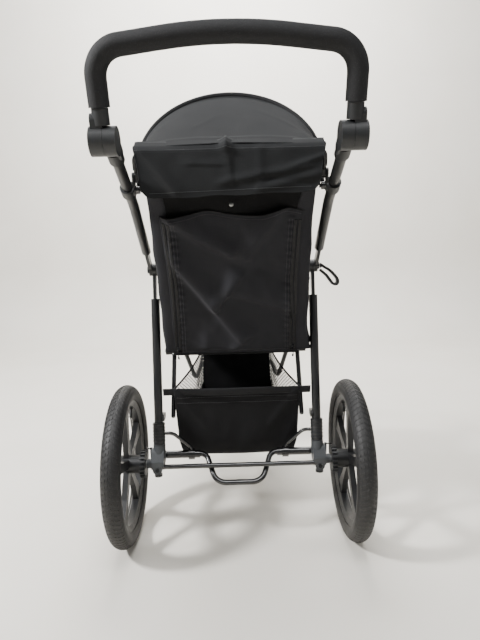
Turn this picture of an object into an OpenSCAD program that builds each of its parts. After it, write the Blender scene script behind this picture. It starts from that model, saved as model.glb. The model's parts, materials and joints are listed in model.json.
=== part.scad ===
// Three-wheeled jogging stroller with a folding tube frame, in millimetres.
// X is to the pusher's right, Y is forward and Z is up. The floor is Z = 0 and the
// origin is under the middle of the stroller's length.
// Side-view places are written as [y, z], with y measured from the rear axle.

/* [Wheels] */
// Distance between the rear and the front axle
wheelbase = 680; // [640:5:760]
// Distance between the middles of the two rear tyres
track = 568; // [560:2:640]
// Outer diameter of a rear tyre
rear_wheel_d = 400; // [360:5:420]
// Thickness of a rear tyre
rear_tyre_d = 45; // [38:1:48]
// Outer diameter of the front tyre
front_wheel_d = 300; // [250:5:304]
// Thickness of the front tyre
front_tyre_d = 42; // [36:1:46]
// Number of spokes in each wheel
spokes = 5; // [3:1:8]
// How far the front axle trails its swivel axis
fork_trail = 50; // [30:1:60]
// Depth of the flat where a tyre stands on the floor
contact_flat = 0.4; // [0.2:0.1:1]

/* [Frame] */
// Height of the main fold pivot
fold_z = 688; // [660:1:760]
// Fold pivot in front of the rear axle
fold_y = 80; // [60:1:110]
// Half of the distance between the two rear legs
leg_x = 202.5; // [198:0.5:212]
// Diameter of the legs and push tubes
tube_d = 22; // [18:0.5:25]
// Diameter of the two front tubes
front_tube_d = 24; // [20:0.5:26]
// Wall of every main tube
tube_wall = 1.8; // [1.2:0.1:2.5]
// Thickness of the flat tangs at the fold pivot
tang_t = 8; // [6:0.5:8]
// Height of the handle knuckles
knuckle_z = 935; // [880:1:1000]
// Handle knuckles behind the rear axle
knuckle_back = 300; // [260:1:340]
// Diameter of the handle knuckles
knuckle_d = 52; // [46:1:60]

/* [Handle] */
// Half of the handle's width at its tube
handle_x = 222; // [218:1:230]
// Reach of the handle's middle from the knuckle axis
handle_reach = 173; // [140:1:210]
// Rise of the handle's middle over its corners
handle_arch = 27; // [10:1:40]
// Diameter of the foam grip
grip_d = 37; // [30:1:40]

/* [Seat] */
// Height of the backrest pivot
seat_z = 480; // [460:1:500]
// Backrest pivot in front of the rear axle
seat_y = 60; // [50:1:70]
// Length of the seat rails
seat_depth = 290; // [270:1:300]
// Half of the distance between the seat rails
seat_x = 172; // [168:1:176]
// Height of the backrest
back_h = 375; // [330:1:390]
// Thickness of the padding
pad_t = 30; // [20:1:34]

/* [Hood] */
// Hood pivot along the push tube from the knuckle
hood_from_knuckle = 157; // [130:1:170]
// Radius of the hood's front bow
bow_r = 191; // [186:1:191]
// Straight length of the front bow under its arch
bow_leg = 83; // [60:1:110]
// Height of the rear bow
rear_bow_h = 80; // [60:1:100]
// Diameter of the hood's bows
bow_d = 8; // [6:0.5:8]
// Height of the flap at the back of the hood
flap_h = 90; // [60:1:100]

/* [Basket] */
// Half of the basket's width
basket_x = 147; // [110:1:148]
// Height of the basket's floor
basket_z = 182; // [160:1:220]
// Thickness of the basket's cloth walls
basket_wall = 4; // [3:0.5:6]

/* [Brake] */
// Number of gaps in each brake disc
disc_gaps = 20; // [20:4:24]
// Angle that the brake bar turns when it is pressed
brake_angle = 22; // [18:1:24]

/* [Fits] */
// Radial clearance of a part that turns or slides in another
run_gap = 0.05; // [0.02:0.01:0.1]
// Gap between neighbouring parts that don't touch
side_gap = 0.5; // [0.3:0.1:0.6]

/* [Hidden] */
$fn = 48;
LEFT = -1;
RIGHT = 1;
AXLE_SIDE = [0, 90, 0];          // turns a cylinder's axis from Z to X

// Radii of the tubes
bend_swell = 0.1;                // a bend is this much thicker than the straight tube
bend_lap = 1;                    // and a straight length reaches this far into it
tube_r = tube_d / 2;
front_tube_r = front_tube_d / 2;
bow_tube_r = bow_d / 2;
rail_r = 8;
thin_r = 6;

// Wheels and axles
rear_axle = [0, rear_wheel_d / 2 - contact_flat];
front_axle_at = [wheelbase, front_wheel_d / 2 - contact_flat];
wheel_x = track / 2;
spindle_r = 6;
hub_in = 36;                     // hub from the wheel's middle plane inwards
hub_out = 17;
disc_t = 12;
disc_r = 35;
disc_root_r = 28.5;
disc_in = wheel_x - hub_in - disc_t;

// The three layers of tangs at the fold pivot, from the inside out
layer = tang_t + side_gap;
front_x = leg_x - layer;
push_x = leg_x + layer;
tang_r = 16;
tang_len = 75;                   // from the pivot to the start of each round tube
fold_bolt_r = 5;

// Side-view places
F = [fold_y, fold_z];
K = [-knuckle_back, knuckle_z];
S = [seat_y, seat_z];
leg_foot = rear_axle + [10, 15];                 // bottom end of a leg
leg_dir = (leg_foot - F) / norm(leg_foot - F);
push_bend = F + [-190, 150];                     // where a push tube bends
push_dir = (push_bend - F) / norm(push_bend - F);
knuckle_dir = (push_bend - K) / norm(push_bend - K);
P = K + hood_from_knuckle * knuckle_dir;         // hood pivot, on the push tube

// Head of the front fork
swivel_y = wheelbase + fork_trail;
crown_z = front_axle_at[1] + front_wheel_d / 2 + 5;
crown_t = 8;
crown_r = 38;
stem_r = 10;
head_z = crown_z + crown_t + 1;
head_h = 60;
head_r = 23;
head_x = 30;                                     // half distance of the front tubes there
head_at = [swivel_y - 20, head_z + 32];          // front ends of the front tubes
front_slope = atan2(head_at[1] - F[1], head_at[0] - F[0]);
front_dir = [cos(front_slope), sin(front_slope)];
front_bend_y = 395;
front_joint_y = swivel_y - 80;

// Handle knuckles, from the inside out
knuckle_r = knuckle_d / 2;
cheek_in = push_x - 14;
cheek_mid = push_x + 8;
cheek_out = cheek_mid + side_gap + 25;
socket_r = 15;
socket_start = knuckle_r + 1;
socket_end = 55;
handle_tilt = 107;                               // angle of the handle's plane from +Y
pivot_r = 8;
button_r = 12;
button_travel = 3;

// Hood, its bows' angles measured from +Y at the hood pivot
front_bow_angle = 54.6;
rear_bow_angle = 110;
rear_bow_x = bow_r;
bow_pin_r = 3;

// Backrest, leaning back from the seat
back_angle = 115;
back_x = 155;
pivot_pin_r = 5;
sleeve_r = 11;

// Brake bar in front of the rear axle
B = rear_axle + [34, 8.4];
bar_r = 10;
bar_x = 100;                                     // where the thick bar meets the pedal loop
stub_r = 5;
pedal_r = 7;
pedal_angle = 222;
pedal_len = 80;
pawl_len = 22;
pawl_r = 1.7;
pawl_angle = 108.5;
bracket_in = leg_x - 12.5;
bracket_out = leg_x + 19.5;

// The whole stroller from its rearmost to its foremost point
rear_end = K[0] + handle_reach * cos(handle_tilt) - grip_d / 2;
front_end = wheelbase + front_wheel_d / 2;
middle_y = (rear_end + front_end) / 2;

// ---- shared shapes ----

function unit(v) = v / norm(v);
function at(x, yz) = [x, yz[0], yz[1]];
function polar(p, r, a) = p + r * [cos(a), sin(a)];

// Moves the side view's zero from the rear axle to the middle of the length
module standing() {
    translate([0, -middle_y, 0]) children();
}

// A right-hand piece, or the same piece mirrored to the left
module on_side(side) {
    if (side == RIGHT) children();
    else mirror([1, 0, 0]) children();
}

module both_sides() {
    on_side(RIGHT) children();
    on_side(LEFT) children();
}

// Points the children's Z axis from a towards b
module along(a, b) {
    u = unit(b - a);
    translate(a) rotate([0, acos(u[2]), atan2(u[1], u[0])]) children();
}

// A cylinder along X between two x values, at a side-view place
module x_cylinder(x0, x1, yz, r) {
    translate(at(x0, yz)) rotate(AXLE_SIDE) cylinder(r = r, h = x1 - x0);
}

// A flat plate between two x values, whose outline is drawn in the side view
module x_plate(x0, x1) {
    translate([x0, 0, 0]) rotate([90, 0, 90]) linear_extrude(x1 - x0) children();
}

// A bar with round ends, drawn in the side view
module bar_outline(a, ra, b, rb) {
    n = [-(b - a)[1], (b - a)[0]] / norm(b - a);
    polygon([a + n * ra, b + n * rb, b - n * rb, a - n * ra]);
    translate(a) circle(ra);
    translate(b) circle(rb);
}

module ring_2d(r, wall) {
    difference() {
        circle(r);
        if (wall < r) circle(r - wall);
    }
}

module tube_between(a, b, r, wall) {
    if (norm(b - a) > 0.05) along(a, b) linear_extrude(norm(b - a)) ring_2d(r, wall);
}

// One bend of a tube at the corner p, from direction d to direction e. Bending
// swells it by a hair, so the straight lengths end inside its wall.
module elbow(p, d, e, bend, r, wall) {
    steps = bend > 300 ? 360 : 96;
    turn = acos(d * e);
    n = unit(e - d * (d * e));
    c = p - d * bend * tan(turn / 2) + n * bend;
    z = cross(-n, d);
    multmatrix([[-n[0], d[0], z[0], c[0]], [-n[1], d[1], z[1], c[1]], [-n[2], d[2], z[2], c[2]]])
        rotate_extrude(angle = turn, $fn = steps) translate([bend, 0])
            ring_2d(r + bend_swell, wall < r ? wall + 2 * bend_swell : r + bend_swell, $fn = 48);
}

// A bent tube through the corners pts, with one bend radius for each inner corner
module bent_tube(pts, bends, r, wall) {
    last = len(pts) - 1;
    dirs = [for (i = [0 : last - 1]) unit(pts[i + 1] - pts[i])];
    trims = [for (i = [0 : last]) i == 0 || i == last ? 0
        : bends[i - 1] * tan(acos(dirs[i - 1] * dirs[i]) / 2)];
    laps = [for (i = [0 : last]) i == 0 || i == last ? 0 : bend_lap];
    for (i = [0 : last - 1])
        tube_between(pts[i] + dirs[i] * (trims[i] - laps[i]),
            pts[i + 1] - dirs[i] * (trims[i + 1] - laps[i + 1]), r, wall);
    for (i = [1 : last - 1]) elbow(pts[i], dirs[i - 1], dirs[i], bends[i - 1], r, wall);
}

// The flat tang that joins a tube of radius r to the fold pivot
module tang(x, dir, r) {
    half = sqrt(pow(r - tube_wall / 2, 2) - pow(tang_t / 2, 2));
    x_plate(x - tang_t / 2, x + tang_t / 2) {
        translate(F) circle(tang_r);
        bar_outline(F, half, F + dir * (tang_len + 12), half);
    }
}

module fold_bore() {
    x_cylinder(front_x - layer, push_x + layer, F, fold_bolt_r + run_gap);
}

// ---- front frame ----

function front_line(y) = F[1] + (y - F[0]) * tan(front_slope);
function front_path() = [
    at(front_x, F + front_dir * tang_len),
    [front_x, front_bend_y, front_line(front_bend_y)],
    [head_x, front_joint_y, front_line(front_joint_y)],
    at(head_x, head_at)
];

module front_tube(side) {
    color("#1f2022") on_side(side) difference() {
        union() {
            bent_tube(front_path(), [90, 70], front_tube_r, tube_wall);
            tang(front_x, front_dir, front_tube_r);
        }
        fold_bore();
    }
}

// The head holds the fork's stem in a vertical bore and the front tubes in two sockets
module fork_head() {
    head_back = 38;
    color("#2c2d2f") difference() {
        union() {
            translate([0, swivel_y, head_z]) cylinder(r = head_r, h = head_h);
            translate([0, head_at[0], head_at[1]]) rotate([front_slope, 0, 0])
                translate([-head_x - 16, -head_back, -16]) cube([2 * head_x + 32, head_back + 6, 32]);
            translate([0, swivel_y + 30, head_z + 3]) cylinder(r = 8, h = 34);
            translate([-8, swivel_y, head_z + 3]) cube([16, 30, 34]);
        }
        translate([0, swivel_y, head_z - 1]) cylinder(r = stem_r + run_gap, h = head_h + 2);
        translate([0, swivel_y + 30, head_z]) cylinder(r = 3 + run_gap, h = head_h);
        for (s = [LEFT, RIGHT])
            along(at(s * head_x, head_at), at(s * head_x, head_at - front_dir * 100))
                cylinder(r = front_tube_r + run_gap, h = 100);
    }
}

// Bolts through the three layers of tangs, each with its head outside
module fold_bolts() {
    color("#3a3b3d") both_sides() {
        x_cylinder(front_x - 9, push_x + tang_t / 2 + side_gap, F, fold_bolt_r);
        x_cylinder(push_x + tang_t / 2 + side_gap, push_x + tang_t / 2 + 5, F, 9);
        x_cylinder(front_x - 9, front_x - tang_t / 2 - side_gap, F, 8);
    }
}

// Seat rails that end in eyes for the backrest's pivot pins
seat_front = S + [seat_depth, 22];
module seat_frame() {
    color("#26272a") difference() {
        union() {
            bent_tube([
                at(seat_x, S + [10, 1]), at(seat_x, seat_front),
                at(-seat_x, seat_front), at(-seat_x, S + [10, 1])
            ], [40, 40], rail_r, 1.5);
            both_sides() x_cylinder(seat_x - rail_r, seat_x + rail_r, S, sleeve_r);
        }
        x_cylinder(-seat_x - 2 * rail_r, seat_x + 2 * rail_r, S, pivot_pin_r + run_gap);
    }
}

// A clamp on each front tube that carries the seat rail and the footrest tube
bracket_y = S[0] + seat_depth - 56.5;
rail_slope = atan2(seat_front[1] - S[1] - 1, seat_front[0] - S[0] - 10);
rail_at = [bracket_y, S[1] + 1 + (bracket_y - S[0] - 10) * tan(rail_slope)];
front_at = [bracket_y, front_line(bracket_y)];
foot_top = [bracket_y + 44, rail_at[1] + 5];
module seat_brackets() {
    ring_len = 20;
    color("#2c2d2f") both_sides() difference() {
        union() {
            along(at(front_x, front_at - front_dir * ring_len / 2), at(front_x, front_at))
                cylinder(r = front_tube_r + 4, h = ring_len);
            along(at(seat_x, rail_at - [ring_len / 2, 0]), at(seat_x, rail_at))
                cylinder(r = rail_r + 4, h = ring_len);
            x_plate(seat_x + 1, seat_x + 11) bar_outline(rail_at, 12, front_at, 10);
            x_plate(seat_x + rail_r + 0.8, seat_x + 10.6) bar_outline(rail_at + [4, 0], 9, foot_top, 9.5);
        }
        along(at(front_x, front_at - front_dir * ring_len), at(front_x, front_at))
            cylinder(r = front_tube_r + run_gap, h = 2 * ring_len);
        along(at(seat_x, rail_at - [ring_len, ring_len * tan(rail_slope)]), at(seat_x, rail_at))
            cylinder(r = rail_r + run_gap, h = 2 * ring_len);
    }
}

// Thin struts welded under the rails, with round caps near the legs
module seat_support_tubes() {
    color("#17181a") both_sides() {
        bent_tube([[168, 50, 307], [seat_x - 8, 100, 460], [seat_x, 118, seat_z - 2]], [20], thin_r, 1.5);
        translate([168, 50, 307]) sphere(r = thin_r);
    }
}

// Footrest loop: down from the seat brackets, then forward and across
footrest_back = [436, 304];
footrest_front = [548, 333];
footrest_x = 122;
foot_r = 7;
module footrest_frame() {
    color("#1f2022") bent_tube([
        at(seat_x + 11 + foot_r, foot_top + [0, 6]), at(footrest_x + 16, footrest_back), at(footrest_x, footrest_front),
        at(-footrest_x, footrest_front), at(-footrest_x - 16, footrest_back), at(-seat_x - 11 - foot_r, foot_top + [0, 6])
    ], [30, 25, 25, 30], foot_r, 1.3);
}

module footrest_board() {
    board_slope = atan2(footrest_front[1] - footrest_back[1], footrest_front[0] - footrest_back[0]);
    color("#303134") translate(at(0, footrest_back)) rotate([board_slope, 0, 0])
        translate([-footrest_x + foot_r + 7, -6, -3]) cube([2 * (footrest_x - foot_r - 7), 104, 6]);
}

module seat_cushion() {
    half = seat_x - rail_r - 4;
    back = S[0] + 64;
    front = S[0] + seat_depth - 10;
    corner = 30;
    color("#2b2c2f") translate([0, 0, S[1] + 12]) linear_extrude(38) polygon([
        [-half, back], [half, back], [half, front - corner],
        [half - corner, front], [-half + corner, front], [-half, front - corner]
    ]);
}

// Padded panel behind the child's calves
module leg_rest() {
    top = seat_front + [22, -6];
    color("#2b2c2f") x_plate(-118, 118)
        polygon([top, top + [14, 5], footrest_back + [6, 34], footrest_back + [-8, 29]]);
}

// Lap belts and crotch strap, lying on the cushion
strap_t = 3;
cushion_top = S[1] + 12 + 38;
module lap_straps() {
    color("#151618") {
        both_sides() translate([22, S[0] + 120, cushion_top + side_gap]) rotate([0, 0, -22])
            cube([112, 32, strap_t]);
        translate([-16, S[0] + 150, cushion_top + side_gap]) cube([32, 110, strap_t]);
    }
}

module harness_buckle() {
    color("#101113") translate([-24, S[0] + 116, cushion_top + side_gap + strap_t + side_gap])
        cube([48, 46, 12]);
}

// Webbing pull loop beside the right-hand fold pivot
module release_strap() {
    top = [push_x + tang_t / 2 + 5, F[0], F[1]];
    color("#101113") translate(top) {
        rotate(AXLE_SIDE) cylinder(r = 9, h = 2.5);
        translate([1.2, -9, -2]) rotate([0, 50, 0]) difference() {
            union() {
                translate([6, 0, -4]) cube([44, 18, 13]);
                translate([50, 0, 2.5]) rotate([-90, 0, 0]) cylinder(r = 6.5, h = 18);
                cube([8, 18, 2.5]);
            }
            translate([6, -1, -1.5]) cube([44, 20, 8]);
            translate([50, -1, 2.5]) rotate([-90, 0, 0]) cylinder(r = 4, h = 20);
        }
    }
}

// Cloth strips from the hood's corners down to the seat
module side_panels() {
    panel_x = seat_x + rail_r - 2;
    hood_corner = polar(P, rear_bow_h - 22, rear_bow_angle);
    color("#3a3b3e") both_sides() x_plate(panel_x, panel_x + 3)
        polygon([
            hood_corner, hood_corner + [110, -10], F + [-45, 0],
            S + [-8, 24], S + [-58, 24], F + [-140, 0]
        ]);
}

// Cloth pouch, open at the top, with a strap to each leg
basket_rear = [24, 386];
basket_front = [300, 440];
module basket() {
    outline = [basket_rear, [84, basket_z], [262, basket_z + 4], [290, basket_z + 26], basket_front];
    strap_x = leg_x - tube_r - 1;
    color("#18191b") {
        difference() {
            x_plate(-basket_x, basket_x) polygon(outline);
            x_plate(-basket_x + basket_wall, basket_x - basket_wall) polygon([
                basket_rear + [basket_wall, 1], [84 + basket_wall, basket_z + basket_wall],
                [261, basket_z + 4 + basket_wall], [290 - basket_wall, basket_z + 28],
                basket_front + [-basket_wall, 1]
            ]);
        }
        both_sides() translate([basket_x, basket_rear[0] - 1, basket_rear[1] - 19])
            cube([strap_x - basket_x, 5, 18]);
    }
}

// Plunger that drops into the fork's crown and stops it turning
module swivel_lock() {
    plunger = [0, swivel_y + 30, crown_z + crown_t + 2];
    color("#55575a") {
        translate(plunger) cylinder(r = 3, h = head_h);
        translate(plunger + [0, 0, 52]) cylinder(r = 6.4, h = 12);
    }
}

// ---- rear frame ----

module leg(side) {
    lug = [44, 312];                             // where the strut's lower end stops
    start = F + leg_dir * tang_len;
    on_leg = leg_foot - leg_dir * ((lug[1] - leg_foot[1]) / -leg_dir[1]);
    color("#1b1c1e") on_side(side) difference() {
        union() {
            tube_between(at(leg_x, start), at(leg_x, leg_foot), tube_r, tube_wall);
            tang(leg_x, leg_dir, tube_r);
            x_plate(leg_x - tube_r - 4, leg_x - tube_r + 2) bar_outline(on_leg, 9, lug, 8);
        }
        fold_bore();
    }
}

// Black sleeves on the bottoms of the legs
sleeve_top = leg_foot[1] + 86;
sleeve_bottom = leg_foot[1] + 32;
module leg_sleeves() {
    a = leg_foot - leg_dir * 32;
    b = leg_foot - leg_dir * 86;
    color("#141517") both_sides() difference() {
        along(at(leg_x, a), at(leg_x, b)) cylinder(r = tube_r + 4, h = norm(b - a));
        along(at(leg_x, a + leg_dir), at(leg_x, b)) cylinder(r = tube_r + run_gap, h = norm(b - a) + 2);
    }
}

// Moulded bracket: leg socket above, spindle and brake-bar bores across, screw lug below
rod_at = rear_axle + [-10, -5.6];
lug_x = leg_x + 3.5;
module axle_bracket(side) {
    socket_top = leg_foot - leg_dir * 31;
    color("#6b6e72") on_side(side) difference() {
        union() {
            x_plate(bracket_in, bracket_out) {
                bar_outline(rear_axle, 16, B, 11);
                bar_outline(rear_axle, 16, leg_foot + [1, 6], 15);
            }
            x_cylinder(bracket_out, disc_in - 2, rear_axle, 12);
            along(at(leg_x, leg_foot + leg_dir * 3), at(leg_x, leg_foot))
                cylinder(r = tube_r + 4.5, h = norm(socket_top - leg_foot) + 3);
            translate([lug_x, -rear_axle[0] - 16, 0]) rotate([-90, 0, 0]) linear_extrude(24) {
                translate([0, -rear_axle[1] + 12]) circle(12);
                translate([-12, -rear_axle[1] - 8]) square([24, 20]);
            }
        }
        along(at(leg_x, leg_foot), at(leg_x, socket_top))
            cylinder(r = tube_r + run_gap, h = 60);
        x_cylinder(bracket_in + 12, disc_in + 2, rear_axle, spindle_r + run_gap);
        x_cylinder(bracket_in - 2, bracket_in + 10, rod_at, thin_r + run_gap);
        x_cylinder(bracket_in - 2, bracket_out + 2, B, stub_r + run_gap);
        translate([lug_x, 0, rear_axle[1] - 30]) cylinder(r = 3 + run_gap, h = 20);
        translate([lug_x, -17, rear_axle[1] - 12]) rotate([-90, 0, 0])
            cylinder(r = 2.5 + run_gap, h = 10);
    }
}

module rear_cross_rod() {
    color("#101113") x_cylinder(-bracket_in - 9, bracket_in + 9, rod_at, thin_r);
}

module wheel_spindles() {
    color("#8d9094") both_sides() {
        x_cylinder(bracket_in + 13, wheel_x + hub_out + 2, rear_axle, spindle_r);
        x_cylinder(wheel_x + hub_out + side_gap, wheel_x + hub_out + 5, rear_axle, spindle_r + 5);
    }
}

// Curved stays from the sleeves to the two bearings of the brake bar
stay_x = 122;
module brake_stays() {
    top = leg_foot - leg_dir * 58;
    color("#141517") both_sides() {
        bent_tube([
            at(leg_x - tube_r - 4.5, top), at(leg_x - 34, top + [2, 0]),
            at(stay_x + 6, B + [0, 23]), at(stay_x, B + [0, 13.3])
        ], [26, 6], 4.5, 4.5);
        difference() {
            x_cylinder(stay_x - 8, stay_x + 8, B, bar_r + 4);
            x_cylinder(stay_x - 9, stay_x + 9, B, bar_r + run_gap);
        }
    }
}

module bracket_screws() {
    color("#8d9094") both_sides() translate([lug_x, -16, rear_axle[1] - 12]) rotate([-90, 0, 0]) {
        cylinder(r = 2.5, h = 8);
        translate([0, 0, -3]) cylinder(r = 5, h = 3);
    }
}

// Spring button under each bracket that frees the wheel's spindle
module wheel_release(side) {
    color("#1a1b1d") on_side(side) translate([lug_x, 0, rear_axle[1] - 32]) {
        translate([0, 0, -2]) cylinder(r = 10, h = 6);
        cylinder(r = 3, h = 18);
    }
}

// Thick bar in two bearings, with a pedal loop in the middle and a pawl at each end
module brake_bar() {
    low = polar(B, pedal_len, pedal_angle);
    tip = polar(B, pawl_len, pawl_angle);
    arm_in = bracket_out + 1;
    arm_out = arm_in + 6;
    color("#1b1c1e") {
        bent_tube([
            at(bar_x + 2, B), at(bar_x - 16, B), at(58, low),
            at(-58, low), at(-bar_x + 16, B), at(-bar_x - 2, B)
        ], [22, 36, 36, 22], pedal_r, pedal_r);
        both_sides() {
            x_cylinder(bar_x, bracket_in - 2, B, bar_r);
            x_cylinder(bracket_in - 12, arm_out, B, stub_r);
            x_plate(arm_in, arm_out) bar_outline(B, 8, tip, 3.5);
            x_cylinder(arm_in, disc_in + 6, tip, pawl_r);
        }
    }
}

// ---- wheels, about an axis along X with the wheel's middle plane at x = 0 ----

module tyre_ring(wheel_d, tyre_d) {
    centre_r = wheel_d / 2 - tyre_d / 2;
    seat_r = centre_r - 15;
    rotate(AXLE_SIDE) rotate_extrude() difference() {
        intersection() {
            translate([centre_r, 0]) circle(tyre_d / 2);
            translate([seat_r, -tyre_d]) square([tyre_d * 2, tyre_d * 2]);
        }
        intersection() {
            translate([centre_r, 0]) circle(tyre_d / 2 - 5);
            translate([seat_r + 5, -tyre_d]) square([tyre_d * 2, tyre_d * 2]);
        }
    }
}

// Spoked wheel with a hub from x = -inward to x = outward
module spoked_rim(wheel_d, tyre_d, hub_r, inward, outward, bore_r) {
    seat_r = wheel_d / 2 - tyre_d / 2 - 15 - run_gap;
    rim_depth = 15;
    spoke_r = seat_r - rim_depth + 3;
    difference() {
        union() {
            rotate(AXLE_SIDE) rotate_extrude() polygon([
                [seat_r - rim_depth, -9], [seat_r - 4, -14], [seat_r, -14],
                [seat_r, 14], [seat_r - 4, 14], [seat_r - rim_depth, 9]
            ]);
            translate([-inward, 0, 0]) rotate(AXLE_SIDE) cylinder(r = hub_r, h = inward + outward);
            for (i = [0 : spokes - 1]) rotate([i * 360 / spokes, 0, 0])
                x_plate(-7, 7) polygon([
                    [-hub_r * 0.5, hub_r - 4], [-hub_r * 0.45, spoke_r * 0.6], [-hub_r * 0.9, spoke_r],
                    [hub_r * 0.9, spoke_r], [hub_r * 0.45, spoke_r * 0.6], [hub_r * 0.5, hub_r - 4]
                ]);
        }
        translate([-inward - 1, 0, 0]) rotate(AXLE_SIDE)
            cylinder(r = bore_r + run_gap, h = inward + outward + 2);
    }
}

module floor_cut() {
    translate([-track, -track, -track]) cube([2 * track, 4 * track, track]);
}

module rear_tyre(side) {
    color("#1d1d1d") on_side(side) difference() {
        translate(at(wheel_x, rear_axle)) tyre_ring(rear_wheel_d, rear_tyre_d);
        floor_cut();
    }
}

module rear_rim(side) {
    color("#2a2b2d") on_side(side) translate(at(wheel_x, rear_axle))
        spoked_rim(rear_wheel_d, rear_tyre_d, 23, hub_in, hub_out, spindle_r);
}

// Toothed disc fixed to the hub's inner face, a gap facing the pressed pawl
module brake_disc(side) {
    pressed = polar(B, pawl_len, pawl_angle + brake_angle) - rear_axle;
    gap_angle = atan2(pressed[1], pressed[0]);
    color("#222325") on_side(side) translate(at(disc_in, rear_axle)) difference() {
        x_plate(0, disc_t) difference() {
            circle(disc_r);
            for (i = [0 : disc_gaps - 1]) rotate(gap_angle + i * 360 / disc_gaps)
                translate([disc_root_r, -3.4]) square([disc_r, 6.8]);
        }
        translate([-1, 0, 0]) rotate(AXLE_SIDE) cylinder(r = spindle_r + run_gap, h = disc_t + 2);
    }
}

// ---- push frame ----

module push_tube(side) {
    color("#1b1c1e") on_side(side) difference() {
        union() {
            bent_tube([
                at(push_x, F + push_dir * tang_len), at(push_x, push_bend),
                at(push_x, K + knuckle_dir * (socket_start + 2))
            ], [120], tube_r, tube_wall);
            tang(push_x, push_dir, tube_r);
        }
        fold_bore();
    }
}

// A socket for a tube, pointing away from the knuckle's axis
module knuckle_socket(x, dir, x0, x1) {
    difference() {
        union() {
            along(at(x, K + dir * socket_start), at(x, K + dir * socket_end))
                cylinder(r = socket_r, h = socket_end - socket_start);
            x_plate(x0, x1) bar_outline(K, 14, K + dir * (socket_start + 8), 12);
        }
        along(at(x, K + dir * (socket_start + 2)), at(x, K + dir * socket_end))
            cylinder(r = tube_r + run_gap, h = socket_end);
    }
}

module knuckle_inner(side) {
    color("#26272a") on_side(side) difference() {
        union() {
            x_cylinder(cheek_in, cheek_mid, K, knuckle_r);
            knuckle_socket(push_x, knuckle_dir, cheek_in, cheek_mid);
        }
        x_cylinder(cheek_in - 1, cheek_mid + 1, K, pivot_r + run_gap);
    }
}

// Clamps on the push tubes, each with a pivot pin for the front bow and a
// socket for the rear bow
plate_out = push_x - tube_r - 0.4;
module hood_clamps() {
    half = 12;
    eye_in = bow_r - 5;
    rear_dir = [cos(rear_bow_angle), sin(rear_bow_angle)];
    color("#1f2022") both_sides() {
        difference() {
            union() {
                along(at(push_x, P - knuckle_dir * half), at(push_x, P))
                    cylinder(r = tube_r + 4.5, h = 2 * half);
                x_plate(plate_out - 4, plate_out) bar_outline(P, 11, P + rear_dir * 28, 8);
                along(at(rear_bow_x, P + rear_dir * 20), at(rear_bow_x, P + rear_dir * 34))
                    cylinder(r = bow_tube_r + 3, h = 14);
            }
            along(at(push_x, P - knuckle_dir * 2 * half), at(push_x, P))
                cylinder(r = tube_r + run_gap, h = 4 * half);
            along(at(rear_bow_x, P + rear_dir * 22), at(rear_bow_x, P + rear_dir * 34))
                cylinder(r = bow_tube_r + run_gap, h = 20);
        }
        x_cylinder(eye_in - 1, plate_out - 1, P, bow_pin_r);
        x_cylinder(eye_in - 3, eye_in - 1, P, bow_pin_r + 2);
    }
}

module hood_rear_bow() {
    foot = polar(P, 22.5, rear_bow_angle);
    top = polar(P, rear_bow_h, rear_bow_angle);
    color("#141517") bent_tube([
        at(rear_bow_x, foot), at(rear_bow_x, top), at(-rear_bow_x, top), at(-rear_bow_x, foot)
    ], [22, 22], bow_tube_r, bow_tube_r);
}

// Front bow: two short legs and a half circle, with an eye on each pivot pin
module hood_front_bow() {
    top = polar(P, bow_leg + bow_r, front_bow_angle);
    foot = polar(P, 6, front_bow_angle);
    color("#141517") difference() {
        union() {
            bent_tube([at(bow_r, foot), at(bow_r, top), at(-bow_r, top), at(-bow_r, foot)],
                [bow_r, bow_r], bow_tube_r, bow_tube_r);
            both_sides() x_cylinder(bow_r - 4, bow_r + 4, P, bow_pin_r + 5);
        }
        x_cylinder(-bow_r - 10, bow_r + 10, P, bow_pin_r + run_gap);
    }
}

// The cloth between the bows, as a shell on a grid. Along each bow the angle a
// runs from 0 at the right pivot to 180 at the left one.
canopy_t = 4;
canopy_low = 40;
function squared(v) = sign(v) * pow(abs(v), 0.4);
function front_arch(a) = [bow_r * cos(a), max(canopy_low, bow_leg - 43 * (1 - sin(min(a, 180 - a) * 4 < 90 ? min(a, 180 - a) * 4 : 90)) + bow_r * sin(a))];
function rear_arch(a) = [rear_bow_x * squared(cos(a)), canopy_low + (rear_bow_h - canopy_low) * squared(sin(a))];
function bow_point(xv, angle) = at(xv[0], polar(P, xv[1], angle));
function canopy_point(a, t, t_in) =
    let (front = bow_point(front_arch(a), front_bow_angle),
        rear = bow_point(rear_arch(a), rear_bow_angle),
        way = bow_point(front_arch(a + 1), front_bow_angle) - bow_point(front_arch(a - 1), front_bow_angle),
        trim = (bow_tube_r + 2.5) * norm(way) / norm(cross(way, front - rear)),
        share = trim + t * (1 - 2 * trim),
        outer = rear + (front - rear) * share,
        centre = at(0, P - [0, 40]))
    outer + unit(centre - outer) * t_in;
module hood_canopy() {
    cols = 36;
    rows = 6;
    ring = 2 * (rows + 1);
    points = [for (i = [0 : cols]) let (a = i * 180 / cols) each concat(
        [for (j = [0 : rows]) canopy_point(a, j / rows, 0)],
        [for (j = [rows : -1 : 0]) canopy_point(a, j / rows, canopy_t)])];
    walls = [for (i = [0 : cols - 1], j = [0 : ring - 1]) let (k = (j + 1) % ring)
        each [[i * ring + j, (i + 1) * ring + j, (i + 1) * ring + k], [i * ring + j, (i + 1) * ring + k, i * ring + k]]];
    ends = [[for (j = [0 : ring - 1]) j], [for (j = [ring - 1 : -1 : 0]) cols * ring + j]];
    color("#4a4b4e") polyhedron(points, concat(walls, ends));
}

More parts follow.
